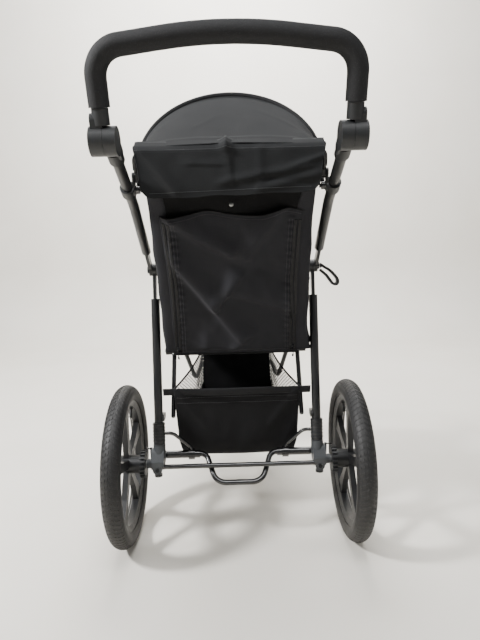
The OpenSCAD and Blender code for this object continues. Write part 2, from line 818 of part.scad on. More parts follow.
// Flap that hangs behind the rear bow, with round lower corners
module hood_flap() {
    top = polar(P, rear_bow_h, rear_bow_angle);
    half = rear_bow_x - 16;
    corner = 22;
    low = top[1] - bow_tube_r - 3 - flap_h;
    color("#3a3b3e") translate([0, top[0] + 2, 0]) rotate([90, 0, 0]) linear_extrude(4) {
        translate([-half, low + corner]) square([2 * half, flap_h - corner]);
        translate([-half + corner, low]) square([2 * (half - corner), flap_h]);
        for (s = [LEFT, RIGHT]) translate([s * (half - corner), low + corner]) circle(corner);
    }
}

// ---- handle ----

function handle_point(x, v) = at(x, polar(K, v, handle_tilt));
function handle_path(v) = [
    handle_point(handle_x, v), handle_point(handle_x, handle_reach - handle_arch),
    handle_point(0, handle_reach),
    handle_point(-handle_x, handle_reach - handle_arch), handle_point(-handle_x, v)
];
handle_bends = [50, 900, 50];
handle_dir = [cos(handle_tilt), sin(handle_tilt)];

module handle_tube() {
    color("#1b1c1e") bent_tube(handle_path(socket_start + 3), handle_bends, tube_r, tube_wall);
}

module handle_grip() {
    color("#2e2f31") bent_tube(handle_path(socket_end + 1), handle_bends, grip_d / 2,
        grip_d / 2 - tube_r - 8 * bend_swell);
}

module knuckle_outer(side) {
    inner = cheek_mid + side_gap;
    color("#26272a") on_side(side) difference() {
        union() {
            x_cylinder(inner, cheek_out, K, knuckle_r);
            knuckle_socket(handle_x, handle_dir, inner, cheek_out - 4);
            x_cylinder(cheek_in, inner, K, pivot_r);
        }
        x_cylinder(cheek_out - 7, cheek_out + 1, K, button_r + run_gap);
    }
}

module handle_button(side) {
    color("#3c3e41") on_side(side) x_cylinder(cheek_out - 7 + button_travel + side_gap, cheek_out + 3, K, button_r);
}

// ---- backrest ----

module recline_bar() {
    end_x = seat_x - rail_r - 2;
    color("#141517") {
        difference() {
            x_cylinder(-end_x, end_x, S, rail_r);
            x_cylinder(-end_x + 14, end_x - 14, S, rail_r - 1.5);
        }
        both_sides() x_cylinder(end_x, seat_x + rail_r + 2, S, pivot_pin_r);
    }
}

// A slab along the leaning backrest, between two distances up it and in front of it
module back_box(half_x, low, high, behind, front) {
    up = [cos(back_angle), sin(back_angle)];
    ahead = [sin(back_angle), -cos(back_angle)];
    x_plate(-half_x, half_x) polygon([
        S + up * low + ahead * behind, S + up * high + ahead * behind,
        S + up * high + ahead * front, S + up * low + ahead * front
    ]);
}

// Stiff board that turns on the recline bar through a sleeve
module backrest_board() {
    color("#232427") difference() {
        union() {
            back_box(back_x, 6, back_h, -3, 3);
            x_cylinder(-back_x, back_x, S, sleeve_r);
        }
        x_cylinder(-back_x - 1, back_x + 1, S, rail_r + run_gap);
    }
}

module back_pad() {
    color("#2b2c2f") back_box(back_x - 4, 22, back_h + 5, 3.5, 3.5 + pad_t);
}

// Loose rear cover of the backrest
module back_panel() {
    color("#333437") back_box(seat_x + 2, -6, back_h + 17, -24, -12);
}

module shoulder_straps() {
    front = 3.5 + pad_t + side_gap;
    color("#151618") both_sides() translate([62, 0, 0]) back_box(18, 110, back_h - 45, front, front + strap_t);
}

// ---- front fork ----

module fork() {
    blade_in = front_tyre_d / 2 + 9;
    blade_out = blade_in + 8;
    color("#2c2d2f") difference() {
        union() {
            translate([0, swivel_y, crown_z]) cylinder(r = crown_r, h = crown_t);
            translate([0, swivel_y, crown_z]) cylinder(r = stem_r, h = crown_t + 1 + head_h + 4);
            translate([0, swivel_y, head_z + head_h + side_gap]) cylinder(r = stem_r + 6, h = 6);
            both_sides() x_plate(blade_in, blade_out)
                bar_outline([swivel_y, crown_z + crown_t - 16], 16, front_axle_at, 13);
        }
        for (a = [0 : 90 : 270]) translate([0, swivel_y, crown_z - 12]) rotate(a)
            translate([0, 30, 0]) cylinder(r = 3.6, h = 40);
        x_cylinder(-blade_out - 1, blade_out + 1, front_axle_at, 5 + run_gap);
    }
}

module front_axle() {
    blade_out = front_tyre_d / 2 + 17;
    color("#8d9094") {
        x_cylinder(-blade_out - 1, blade_out + 1, front_axle_at, 5);
        both_sides() x_cylinder(blade_out + side_gap, blade_out + 6, front_axle_at, 9);
    }
}

module front_tyre() {
    color("#1d1d1d") difference() {
        translate(at(0, front_axle_at)) tyre_ring(front_wheel_d, front_tyre_d);
        floor_cut();
    }
}

module front_rim() {
    half = front_tyre_d / 2 + 7;
    color("#2a2b2d") translate(at(0, front_axle_at))
        spoked_rim(front_wheel_d, front_tyre_d, 20, half, half, 5);
}

standing() front_tube(LEFT);  // front_tube_left
standing() front_tube(RIGHT);  // front_tube_right
standing() fork_head();
standing() fold_bolts();
standing() seat_frame();
standing() seat_brackets();
standing() seat_support_tubes();
standing() footrest_frame();
standing() footrest_board();
standing() seat_cushion();
standing() leg_rest();
standing() lap_straps();
standing() harness_buckle();
standing() release_strap();
standing() side_panels();
standing() basket();
standing() swivel_lock();
standing() leg(LEFT);  // leg_left
standing() leg(RIGHT);  // leg_right
standing() leg_sleeves();
standing() axle_bracket(LEFT);  // axle_bracket_left
standing() axle_bracket(RIGHT);  // axle_bracket_right
standing() rear_cross_rod();
standing() wheel_spindles();
standing() brake_stays();
standing() bracket_screws();
standing() wheel_release(LEFT);  // wheel_release_left
standing() wheel_release(RIGHT);  // wheel_release_right
standing() brake_bar();
standing() rear_tyre(LEFT);  // rear_tyre_left
standing() rear_rim(LEFT);  // rear_rim_left
standing() brake_disc(LEFT);  // brake_disc_left
standing() rear_tyre(RIGHT);  // rear_tyre_right
standing() rear_rim(RIGHT);  // rear_rim_right
standing() brake_disc(RIGHT);  // brake_disc_right
standing() push_tube(LEFT);  // push_tube_left
standing() push_tube(RIGHT);  // push_tube_right
standing() knuckle_inner(LEFT);  // knuckle_inner_left
standing() knuckle_inner(RIGHT);  // knuckle_inner_right
standing() hood_clamps();
standing() hood_rear_bow();
standing() hood_canopy();
standing() hood_flap();
standing() hood_front_bow();
standing() handle_tube();
standing() handle_grip();
standing() knuckle_outer(LEFT);  // knuckle_outer_left
standing() knuckle_outer(RIGHT);  // knuckle_outer_right
standing() handle_button(LEFT);  // handle_button_left
standing() handle_button(RIGHT);  // handle_button_right
standing() recline_bar();
standing() backrest_board();
standing() back_pad();
standing() back_panel();
standing() shoulder_straps();
standing() fork();
standing() front_axle();
standing() front_tyre();
standing() front_rim();
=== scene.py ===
"""Jogging stroller: the looks of its tubes, wheels, cloth and fittings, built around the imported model."""
import json
import math

import bpy
import numpy as np
from mathutils import Matrix, Vector
from mathutils.bvhtree import BVHTree


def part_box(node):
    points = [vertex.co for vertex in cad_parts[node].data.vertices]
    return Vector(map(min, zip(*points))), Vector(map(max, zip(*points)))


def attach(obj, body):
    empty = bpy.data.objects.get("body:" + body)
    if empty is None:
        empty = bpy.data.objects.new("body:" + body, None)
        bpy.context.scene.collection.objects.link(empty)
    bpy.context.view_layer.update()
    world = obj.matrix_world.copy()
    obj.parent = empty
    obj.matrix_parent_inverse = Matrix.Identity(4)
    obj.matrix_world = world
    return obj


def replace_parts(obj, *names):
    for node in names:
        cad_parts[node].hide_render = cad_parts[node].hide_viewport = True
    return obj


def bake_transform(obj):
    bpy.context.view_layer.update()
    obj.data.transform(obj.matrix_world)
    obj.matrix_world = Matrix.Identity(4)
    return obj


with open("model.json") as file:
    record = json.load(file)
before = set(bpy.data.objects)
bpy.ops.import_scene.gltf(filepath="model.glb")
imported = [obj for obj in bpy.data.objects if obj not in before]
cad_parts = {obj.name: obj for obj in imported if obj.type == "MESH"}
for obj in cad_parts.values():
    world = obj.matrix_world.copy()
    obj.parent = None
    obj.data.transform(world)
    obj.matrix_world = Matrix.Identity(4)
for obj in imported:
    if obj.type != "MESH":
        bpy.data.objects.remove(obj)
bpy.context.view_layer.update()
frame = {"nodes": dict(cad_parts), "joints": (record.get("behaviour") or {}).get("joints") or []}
nodes = frame["nodes"]
pivots = {j["name"]: Vector(j["pos_m"]) for j in frame["joints"] if j.get("pos_m")}
rear_axle = pivots["rear_wheel_left_spin"]
SIDES = ((-1, "left"), (1, "right"))


# ---------------------------------------------------------------- viewpoint
# The camera is behind the stroller, lower than its handle, and looks a little down.
# Places are in millimetres: across, forward of the rear axle, and above the floor.
def place(across, forward, up):
    return Vector((across / 1000, rear_axle.y + forward / 1000, up / 1000))


def camera_turn(pitch, yaw, roll):
    ahead = Vector((math.sin(yaw) * math.cos(pitch), math.cos(yaw) * math.cos(pitch), -math.sin(pitch)))
    level = Vector((math.cos(yaw), -math.sin(yaw), 0))
    upright = level.cross(ahead)
    right = level * math.cos(roll) + upright * math.sin(roll)
    up = upright * math.cos(roll) - level * math.sin(roll)
    return Matrix((right, up, -ahead)).transposed()


camera = bpy.data.objects.new("camera", bpy.data.cameras.new("camera"))
camera.data.lens = 29.25
camera.data.sensor_width = 36
camera.data.clip_end = 30
camera.matrix_world = Matrix.Translation(place(4.9, -1261, 752)) @ camera_turn(
    math.radians(8.5), math.radians(0.358), math.radians(-1.548)).to_4x4()
bpy.context.scene.collection.objects.link(camera)
bpy.context.scene.camera = camera


# ------------------------------------------------------------ floor and light
# A pale painted floor that curves up into a pale wall.
def linear(colour):
    parts = [int(colour[i:i + 2], 16) / 255 for i in (1, 3, 5)]
    return [c / 12.92 if c <= 0.04045 else ((c + 0.055) / 1.055) ** 2.4 for c in parts] + [1.0]


def add(tree, kind, inputs=(), **settings):
    made = tree.nodes.new(kind)
    for name, value in settings.items():
        setattr(made, name, value)
    for name, value in dict(inputs).items():
        if isinstance(value, bpy.types.NodeSocket):
            tree.links.new(value, made.inputs[name])
        else:
            made.inputs[name].default_value = value
    return made


def finish_of(name, **principled):
    material = bpy.data.materials.new(name)
    material.use_nodes = True
    tree = material.node_tree
    tree.nodes.clear()
    shader = add(tree, "ShaderNodeBsdfPrincipled", {k.replace("_", " "): v for k, v in principled.items()})
    add(tree, "ShaderNodeOutputMaterial", {"Surface": shader.outputs[0]})
    return material, tree, shader


def new_piece(name, points, faces, material, smooth=True):
    mesh = bpy.data.meshes.new(name)
    mesh.from_pydata([tuple(p) for p in points], [], [tuple(int(i) for i in f) for f in faces])
    mesh.materials.append(material)
    mesh.polygons.foreach_set("use_smooth", [smooth] * len(mesh.polygons))
    mesh.update()
    piece = bpy.data.objects.new(name, mesh)
    bpy.context.scene.collection.objects.link(piece)
    return piece


# Matt floor paint: barely mottled, no gloss
floor_paint, tree, shader = finish_of("matt_floor_paint", Roughness=0.75)
coords = add(tree, "ShaderNodeTexCoord")
mottle = add(tree, "ShaderNodeTexNoise", {"Vector": coords.outputs["Object"], "Scale": 3.0, "Detail": 6.0})
tint = add(tree, "ShaderNodeMix", {"Factor": mottle.outputs["Fac"], "A": linear("#d9d4ca"), "B": linear("#e4e0d8")},
           data_type="RGBA")
tree.links.new(tint.outputs["Result"], shader.inputs["Base Color"])
sweep = [(-4.0, 0.0), (2.2, 0.0)]
sweep += [(2.2 + 0.6 * math.sin(a), 0.6 - 0.6 * math.cos(a)) for a in np.linspace(0.1, math.pi / 2, 12)] + [(2.8, 4.0)]
points = [(x, y, z) for y, z in sweep for x in (-5.0, 5.0)]
faces = [(2 * i, 2 * i + 1, 2 * i + 3, 2 * i + 2) for i in range(len(sweep) - 1)]
backdrop = new_piece("backdrop", points, faces, floor_paint)

# A hard lamp high on the left rakes across the folds. The others are soft.
LAMPS = {  # where, watts, size in metres, and the point it is aimed at
    "ceiling_lamp": ((0.1, -1.5, 3.1), 52, 1.2, (0, 0, 0.6)),
    "room_lamp_left": ((-2.0, -1.0, 2.1), 130, 0.4, (0, 0, 0.75)),
    "room_lamp_right": ((2.6, -1.6, 1.6), 10, 1.8, (0, 0, 0.6)),
    "wall_lamp": ((0.0, 1.1, 3.2), 240, 2.0, (0, 3.4, 0.9)),
}
for name, (where, watts, size, aim) in LAMPS.items():
    lamp = bpy.data.objects.new(name, bpy.data.lights.new(name, "AREA"))
    lamp.data.energy, lamp.data.shape, lamp.data.size = watts, "DISK", size
    lamp.location = where
    lamp.rotation_euler = (Vector(aim) - Vector(where)).to_track_quat("-Z", "Y").to_euler()
    bpy.context.scene.collection.objects.link(lamp)
world = bpy.data.worlds.new("pale_room")
bpy.context.scene.world = world
world.use_nodes = True
world.node_tree.nodes["Background"].inputs["Color"].default_value = linear("#f3f4f4")
world.node_tree.nodes["Background"].inputs["Strength"].default_value = 0.34


# ------------------------------------------------------------------- tubes
# Steel tubes, bent cold and flattened to tangs at the fold pivot, then powder
# coated satin black. The coat is a little uneven and rubbed paler in places.
def paint(material, *names):
    for name in names:
        for slot in nodes[name].material_slots:
            slot.material = material


def mottled(tree, shader, dark, pale, size_mm, rough, rough_spread, detail=5.0):
    """Colour and roughness that drift over patches of size_mm, and the coordinates they use."""
    coords = add(tree, "ShaderNodeTexCoord")
    drift = add(tree, "ShaderNodeTexNoise", {"Vector": coords.outputs["Object"], "Scale": 1000 / size_mm,
                                             "Detail": detail, "Roughness": 0.6})
    colour = add(tree, "ShaderNodeMix", {"Factor": drift.outputs["Fac"], "A": linear(dark), "B": linear(pale)},
                 data_type="RGBA")
    gloss = add(tree, "ShaderNodeMapRange", {"Value": drift.outputs["Fac"], "From Min": 0.25, "From Max": 0.75,
                                             "To Min": rough - rough_spread, "To Max": rough + rough_spread})
    tree.links.new(colour.outputs["Result"], shader.inputs["Base Color"])
    tree.links.new(gloss.outputs["Result"], shader.inputs["Roughness"])
    return coords, colour


def grained(tree, shader, coords, grain_mm, height_mm, strength=0.5):
    """A fine raised grain on the surface."""
    grain = add(tree, "ShaderNodeTexNoise", {"Vector": coords.outputs["Object"], "Scale": 1000 / grain_mm,
                                             "Detail": 3.0})
    bump = add(tree, "ShaderNodeBump", {"Height": grain.outputs["Fac"], "Strength": strength,
                                        "Distance": height_mm / 1000})
    tree.links.new(bump.outputs["Normal"], shader.inputs["Normal"])
    return grain


# Satin powder coat: soft highlights along the tubes, an orange-peel grain of 2 mm
satin_coat, tree, shader = finish_of("satin_powder_coat_on_steel", IOR=1.5, Coat_Weight=0.15, Coat_Roughness=0.3)
coords, _ = mottled(tree, shader, "#08090a", "#111214", 38, 0.4, 0.08)
grained(tree, shader, coords, 2.0, 0.12)
paint(satin_coat, "front_tube_left", "front_tube_right", "seat_frame", "footrest_frame", "leg_left", "leg_right",
      "push_tube_left", "push_tube_right", "handle_tube", "recline_bar")

# Gloss enamel on the thin rods: sharp narrow highlights
gloss_enamel, tree, shader = finish_of("gloss_enamel_on_steel_rod", IOR=1.52, Coat_Weight=0.6, Coat_Roughness=0.08)
coords, _ = mottled(tree, shader, "#0a0a0b", "#161617", 25, 0.2, 0.06)
grained(tree, shader, coords, 5.0, 0.1, 0.3)
paint(gloss_enamel, "seat_support_tubes", "rear_cross_rod", "brake_stays", "brake_bar", "hood_rear_bow",
      "hood_front_bow")


# Turned steel under a thin finish, with a fine grain of 0.8 mm
def turned_steel(name, dark, pale, patch_mm, rough):
    material, tree, shader = finish_of(name, Metallic=1.0)
    coords, _ = mottled(tree, shader, dark, pale, patch_mm, rough, 0.08)
    grained(tree, shader, coords, 0.8, 0.05)
    return material


# Zinc plate is grey and slightly yellow. Bolts and small screws are blackened.
zinc_plate = turned_steel("zinc_plated_turned_steel", "#8f9294", "#b6b6b0", 9, 0.36)
black_oxide = turned_steel("blackened_steel_bolts", "#232426", "#3a3b3d", 7, 0.42)
paint(zinc_plate, "wheel_spindles", "front_axle")
paint(black_oxide, "fold_bolts", "bracket_screws")


# ----------------------------------------------------------------- mouldings
# Glass-filled nylon fittings, injection moulded with a fine spark-eroded
# texture, which scatters light and leaves broad dull highlights.
def moulded_nylon(name, dark, pale, rough):
    material, tree, shader = finish_of(name, IOR=1.53)
    coords, _ = mottled(tree, shader, dark, pale, 22, rough, 0.06)
    grained(tree, shader, coords, 1.4, 0.16, 0.6)
    return material


black_nylon = moulded_nylon("moulded_black_nylon", "#0c0d0e", "#151618", 0.5)
grey_nylon = moulded_nylon("moulded_grey_nylon", "#2b2d2f", "#3b3e41", 0.5)
dark_nylon = moulded_nylon("moulded_charcoal_nylon", "#0d0e0f", "#17191b", 0.5)
paint(black_nylon, "fork_head", "seat_brackets", "footrest_board", "swivel_lock", "leg_sleeves", "wheel_release_left",
      "wheel_release_right", "hood_clamps", "handle_button_left", "handle_button_right", "fork")
paint(dark_nylon, "knuckle_inner_left", "knuckle_inner_right", "knuckle_outer_left", "knuckle_outer_right",
      "brake_disc_left", "brake_disc_right")
paint(grey_nylon, "axle_bracket_left", "axle_bracket_right")
paint(moulded_nylon("moulded_black_wheel_nylon", "#08090a", "#101113", 0.45), "rear_rim_left", "rear_rim_right",
      "front_rim")
paint(moulded_nylon("pressed_fibre_board", "#1b1a1a", "#262525", 0.8), "backrest_board")


# ---------------------------------------------------------------- foam grip
# EVA foam tube pushed over the handle: dull, closed-cell skin with paler
# specks where the cells show.
grip_foam, tree, shader = finish_of("closed_cell_eva_foam", IOR=1.45)
coords, base = mottled(tree, shader, "#111112", "#1a1a1c", 16, 0.8, 0.05)
cells = add(tree, "ShaderNodeTexVoronoi", {"Vector": coords.outputs["Object"], "Scale": 1000 / 3.2})
specks = add(tree, "ShaderNodeMapRange", {"Value": cells.outputs["Distance"], "From Min": 0.12, "From Max": 0.3,
                                          "To Min": 0.5, "To Max": 0.0})
speckled = add(tree, "ShaderNodeMix", {"Factor": specks.outputs["Result"], "A": base.outputs["Result"],
                                       "B": linear("#2b2c2f")}, data_type="RGBA")
tree.links.new(speckled.outputs["Result"], shader.inputs["Base Color"])
pores = add(tree, "ShaderNodeBump", {"Height": cells.outputs["Distance"], "Strength": 0.5, "Distance": 0.0005})
tree.links.new(pores.outputs["Normal"], shader.inputs["Normal"])
paint(grip_foam, "handle_grip")


# -------------------------------------------------------------------- tyres
# Air tyres of black rubber. Each has a low chevron tread with shoulder blocks,
# two moulded rings on each wall, and dust from the path between the blocks.
def rubber(name, dusty):
    material, tree, shader = finish_of(name, IOR=1.52)
    coords, base = mottled(tree, shader, "#0a0a0b", "#141415", 30, 0.6, 0.08)
    dust_drift = add(tree, "ShaderNodeTexNoise", {"Vector": coords.outputs["Object"], "Scale": 1000 / 45,
                                                  "Detail": 8.0, "Roughness": 0.7})
    height = add(tree, "ShaderNodeSeparateXYZ", {"Vector": coords.outputs["Object"]})
    low = add(tree, "ShaderNodeMapRange", {"Value": height.outputs["Z"], "From Min": 0.0, "From Max": 0.17,
                                           "To Min": dusty, "To Max": dusty * 0.15})
    dust = add(tree, "ShaderNodeMath", {0: dust_drift.outputs["Fac"], 1: low.outputs["Result"]}, operation="MULTIPLY")
    dirty = add(tree, "ShaderNodeMix", {"Factor": dust.outputs["Value"], "A": base.outputs["Result"],
                                        "B": linear("#6c6458")}, data_type="RGBA")
    tree.links.new(dirty.outputs["Result"], shader.inputs["Base Color"])
    grained(tree, shader, coords, 1.5, 0.1, 0.4)
    return material


tyre_rubber = rubber("moulded_tyre_rubber", 0.12)
tread_rubber = rubber("worn_tread_rubber", 0.3)
paint(tyre_rubber, "rear_tyre_left", "rear_tyre_right", "front_tyre")


def swept_tube(path, radius, sides=8, loop=False, flat=1.0, side_way=None):
    """Points and faces of a round or flattened tube that follows a path."""
    path = [Vector(p) for p in path]
    count = len(path)
    radii = radius if hasattr(radius, "__len__") else [radius] * count
    ways = [(path[(i + 1) % count] - path[i - 1]) if loop or 0 < i < count - 1 else
            (path[1] - path[0] if i == 0 else path[-1] - path[-2]) for i in range(count)]
    ways = [w.normalized() for w in ways]
    side = Vector(side_way) if side_way is not None else ways[0].orthogonal()
    points, faces = [], []
    for centre, way, r in zip(path, ways, radii):
        side = (side - way * side.dot(way)).normalized()
        other = way.cross(side)
        for k in range(sides):
            a = 2 * math.pi * k / sides
            points.append(centre + side * (r * math.cos(a)) + other * (r * flat * math.sin(a)))
    rings = count if loop else count - 1
    for i in range(rings):
        for k in range(sides):
            a, b = i * sides, (i + 1) % count * sides
            faces.append((a + k, a + (k + 1) % sides, b + (k + 1) % sides, b + k))
    if not loop:
        faces.append(tuple(range(sides - 1, -1, -1)))
        faces.append(tuple(range((count - 1) * sides, count * sides)))
    return points, faces


def gathered(parts):
    """Several (points, faces) as one."""
    points, faces = [], []
    for more_points, more_faces in parts:
        start = len(points)
        points += list(more_points)
        faces += [tuple(i + start for i in f) for f in more_faces]
    return points, faces


def made_plain(piece):
    """The piece with its modifiers turned into one plain mesh."""
    bpy.context.view_layer.update()
    evaluated = piece.evaluated_get(bpy.context.evaluated_depsgraph_get())
    mesh = bpy.data.meshes.new_from_object(evaluated)
    piece.modifiers.clear()
    piece.data = mesh
    mesh.polygons.foreach_set("use_smooth", [p.use_smooth for p in mesh.polygons])
    return piece


def geometry_tree(name, sockets):
    """An empty geometry tree with named inputs, and its input node."""
    tree = bpy.data.node_groups.new(name, "GeometryNodeTree")
    tree.interface.new_socket("Geometry", in_out="INPUT", socket_type="NodeSocketGeometry")
    for socket, kind in sockets.items():
        tree.interface.new_socket(socket, in_out="INPUT", socket_type=kind)
    tree.interface.new_socket("Geometry", in_out="OUTPUT", socket_type="NodeSocketGeometry")
    return tree, add(tree, "NodeGroupInput").outputs


def close_tree(tree, given, geometry):
    """Ends a tree with real geometry in the given material."""
    real = add(tree, "GeometryNodeRealizeInstances", {"Geometry": geometry})
    painted = add(tree, "GeometryNodeSetMaterial", {"Geometry": real.outputs[0], "Material": given["Material"]})
    add(tree, "NodeGroupOutput", {"Geometry": painted.outputs[0]})


def run_tree(piece, tree, **inputs):
    """Puts a tree on a piece with its inputs set, and keeps the result as a plain mesh."""
    modifier = piece.modifiers.new(tree.name, "NODES")
    modifier.node_group = tree
    for socket in tree.interface.items_tree:
        if socket.in_out == "INPUT" and socket.name in inputs:
            modifier[socket.identifier] = inputs[socket.name]
    return made_plain(piece)


# One pitch of tread, turned round the axle. The piece's own mesh is the pitch.
turned_copies, given = geometry_tree("copies_turned_about_x", {
    "Count": "NodeSocketInt", "Centre": "NodeSocketVector", "Material": "NodeSocketMaterial"})
hub_points = add(turned_copies, "GeometryNodePoints", {"Count": given["Count"], "Position": given["Centre"]})
number = add(turned_copies, "GeometryNodeInputIndex")
share = add(turned_copies, "ShaderNodeMath", {0: number.outputs[0], 1: given["Count"]}, operation="DIVIDE")
angle = add(turned_copies, "ShaderNodeMath", {0: share.outputs[0], 1: 2 * math.pi}, operation="MULTIPLY")
turn = add(turned_copies, "ShaderNodeCombineXYZ", {"X": angle.outputs[0]})
copies = add(turned_copies, "GeometryNodeInstanceOnPoints", {
    "Points": hub_points.outputs[0], "Instance": given["Geometry"], "Rotation": turn.outputs[0]})
close_tree(turned_copies, given, copies.outputs[0])

TREAD_PITCHES = 90
TREAD_HEIGHT = 1.0
TREAD_BLOCKS = [  # section angles in degrees, then how far round each edge starts, in pitches, and the block's length
    (2.5, 17, 0.02, 0.34, 0.48), (20, 38, 0.30, 0.60, 0.46), (42, 55, 0.66, 0.72, 0.42)]


def tread_pitch(wheel_r, tyre_r):
    """The blocks of one pitch of tread, about the wheel's own centre."""
    step = 2 * math.pi / TREAD_PITCHES

    def on_tyre(section, around, height):
        out = (tyre_r + height) / 1000
        reach = (wheel_r - tyre_r) / 1000 + out * math.cos(section)
        return Vector((out * math.sin(section), reach * math.cos(around), reach * math.sin(around)))

    parts = []
    for side in (1, -1):
        for inner, outer, start, end, length in TREAD_BLOCKS:
            corners = [(inner, start), (outer, end), (outer, end + length), (inner, start + length)]
            if side < 0:
                corners.reverse()
            middle = np.mean(corners, axis=0)
            ring = []
            for height, shrink in ((-0.8, 1.0), (TREAD_HEIGHT * 0.7, 0.97), (TREAD_HEIGHT, 0.84)):
                for section, around in np.array(corners) * shrink + middle * (1 - shrink):
                    ring.append(on_tyre(side * math.radians(section), around * step, height))
            sides = [(a + k, a + (k + 1) % 4, a + 4 + (k + 1) % 4, a + 4 + k) for a in (0, 4) for k in range(4)]
            parts.append((ring, sides + [(3, 2, 1, 0), (8, 9, 10, 11)]))
    return gathered(parts)


for wheel, body, wheel_joint in (("rear_tyre_left", "rear_wheel_left", "rear_wheel_left_spin"),
                                 ("rear_tyre_right", "rear_wheel_right", "rear_wheel_right_spin"),
                                 ("front_tyre", "front_wheel", "front_wheel_spin")):
    low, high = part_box(wheel)
    centre = pivots[wheel_joint]
    wheel_r, tyre_r = (high.z - centre.z) * 1000, (high.x - low.x) * 500
    tread = new_piece(wheel + "_tread", *tread_pitch(wheel_r, tyre_r), tread_rubber, smooth=False)
    run_tree(tread, turned_copies, Count=TREAD_PITCHES, Centre=centre, Material=tread_rubber)
    for vertex in tread.data.vertices:
        vertex.co.z = max(vertex.co.z, 0.0002)
    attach(tread, body)
    rings = []
    for section in (64, 74, -64, -74):
        reach = wheel_r - tyre_r + tyre_r * math.cos(math.radians(section))
        around = [centre + Vector((tyre_r * math.sin(math.radians(section)) / 1000, reach * math.cos(a) / 1000,
                                   reach * math.sin(a) / 1000)) for a in np.linspace(0, 2 * math.pi, 97)[:-1]]
        rings.append(swept_tube(around, 0.0009, 6, loop=True, side_way=(1, 0, 0)))
    wall_rings = new_piece(wheel + "_wall_rings", *gathered(rings), tyre_rubber)
    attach(wall_rings, body)
    seat_r = wheel_r - tyre_r - 15
    stem = [centre + Vector((0, 0, (seat_r - up) / 1000)) @ Matrix.Rotation(0.6, 3, "X") for up in
            (12, 17, 19, 30, 31, 40, 42)]
    valve = new_piece(body + "_valve", *swept_tube(stem, [0.005, 0.005, 0.003, 0.003, 0.0042, 0.0042, 0.003], 12),
                      tyre_rubber)
    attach(valve, body)


# ---------------------------------------------------- leg sleeves and screws
# The black sleeves at the feet of the legs have moulded ribs, and the mouldings
# are closed with small domed screws.
laid_along, given = geometry_tree("copies_laid_along_a_path", {
    "Spacing": "NodeSocketFloat", "Small piece": "NodeSocketObject", "Material": "NodeSocketMaterial"})
curve = add(laid_along, "GeometryNodeMeshToCurve", {"Mesh": given["Geometry"]})
upright = add(laid_along, "GeometryNodeSetCurveNormal", {"Curve": curve.outputs[0]}, mode="Z_UP")
stations = add(laid_along, "GeometryNodeCurveToPoints", {"Curve": upright.outputs[0], "Length": given["Spacing"]},
               mode="LENGTH")
small = add(laid_along, "GeometryNodeObjectInfo", {"Object": given["Small piece"]})
copies = add(laid_along, "GeometryNodeInstanceOnPoints", {
    "Points": stations.outputs[0], "Instance": small.outputs["Geometry"], "Rotation": stations.outputs["Rotation"]})
close_tree(laid_along, given, copies.outputs[0])


def laid(name, paths, spacing_mm, small_mesh, material, smooth=True):
    """Copies of a small shape at an even spacing along paths, its Z along the path."""
    sample = new_piece(name + "_one", *small_mesh, material, smooth)
    points = [p for path in paths for p in path]
    mesh = bpy.data.meshes.new(name)
    edges, start = [], 0
    for path in paths:
        edges += [(start + i, start + i + 1) for i in range(len(path) - 1)]
        start += len(path)
    mesh.from_pydata([tuple(p) for p in points], edges, [])
    mesh.materials.append(material)
    piece = bpy.data.objects.new(name, mesh)
    bpy.context.scene.collection.objects.link(piece)
    run_tree(piece, laid_along, **{"Spacing": spacing_mm / 1000, "Small piece": sample, "Material": material})
    bpy.data.objects.remove(sample)
    return piece


def ring_shape(radius_mm, thick_mm, sides=40):
    around = [Vector((radius_mm / 1000 * math.cos(a), radius_mm / 1000 * math.sin(a), 0))
              for a in np.linspace(0, 2 * math.pi, sides + 1)[:-1]]
    return swept_tube(around, thick_mm / 1000, 6, loop=True, side_way=(0, 0, 1))


for side, name in SIDES:
    foot, fold = place(202.5 * side, 10, 214.6), place(202.5 * side, 80, 688)
    way = (fold - foot).normalized()
    ribs = laid(f"leg_sleeve_ribs_{name}", [[foot + way * 0.040, foot + way * 0.082]], 7, ring_shape(15.0, 1.3),
                black_nylon)
    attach(ribs, "rear_frame")
    collar = laid(f"leg_sleeve_collar_{name}", [[foot + way * 0.0842, foot + way * 0.0846]], 7, ring_shape(13.4, 1.6),
                  black_nylon)
    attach(collar, "rear_frame")


def screw_head(radius_mm):
    """A domed screw head that faces Z, with a dimple in its middle."""
    r = radius_mm / 1000
    profile = [(r, -0.001), (r, r * 0.25), (r * 0.8, r * 0.55), (r * 0.35, r * 0.7)]
    points = [Vector((q * math.cos(a), q * math.sin(a), h)) for q, h in profile
              for a in np.linspace(0, 2 * math.pi, 25)[:-1]]
    faces = [(i * 24 + k, i * 24 + (k + 1) % 24, (i + 1) * 24 + (k + 1) % 24, (i + 1) * 24 + k)
             for i in range(3) for k in range(24)]
    dimple = len(points)
    points.append(Vector((0, 0, r * 0.3)))
    faces += [(72 + k, 72 + (k + 1) % 24, dimple) for k in range(24)]
    faces.append(tuple(range(23, -1, -1)))
    return points, faces


def screws(name, spots, way, radius_mm, body, material):
    """Screws at spots, all facing one way."""
    way = Vector(way).normalized()
    piece = laid(name, [[Vector(s), Vector(s) + way * 0.0004] for s in spots], 9, screw_head(radius_mm), material)
    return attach(piece, body)


for side, name in SIDES:
    knuckle = pivots["handle_tilt"]
    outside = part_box(f"knuckle_outer_{name}")[1 if side > 0 else 0].x
    spots = [(outside - side * 0.0003, knuckle.y + 0.0185 * math.cos(a), knuckle.z + 0.0185 * math.sin(a))
             for a in np.radians([20, 140, 260])]
    screws(f"knuckle_screws_{name}", spots, (side, 0, 0), 2.6, "handle", black_oxide)
    clamp = pivots["hood"]
    inner = side * (0.211 - 0.0158)
    screws(f"hood_clamp_screw_{name}", [(inner, clamp.y - 0.007, clamp.z + 0.018)], (-side, 0, 0), 2.4, "push_frame",
           black_oxide)


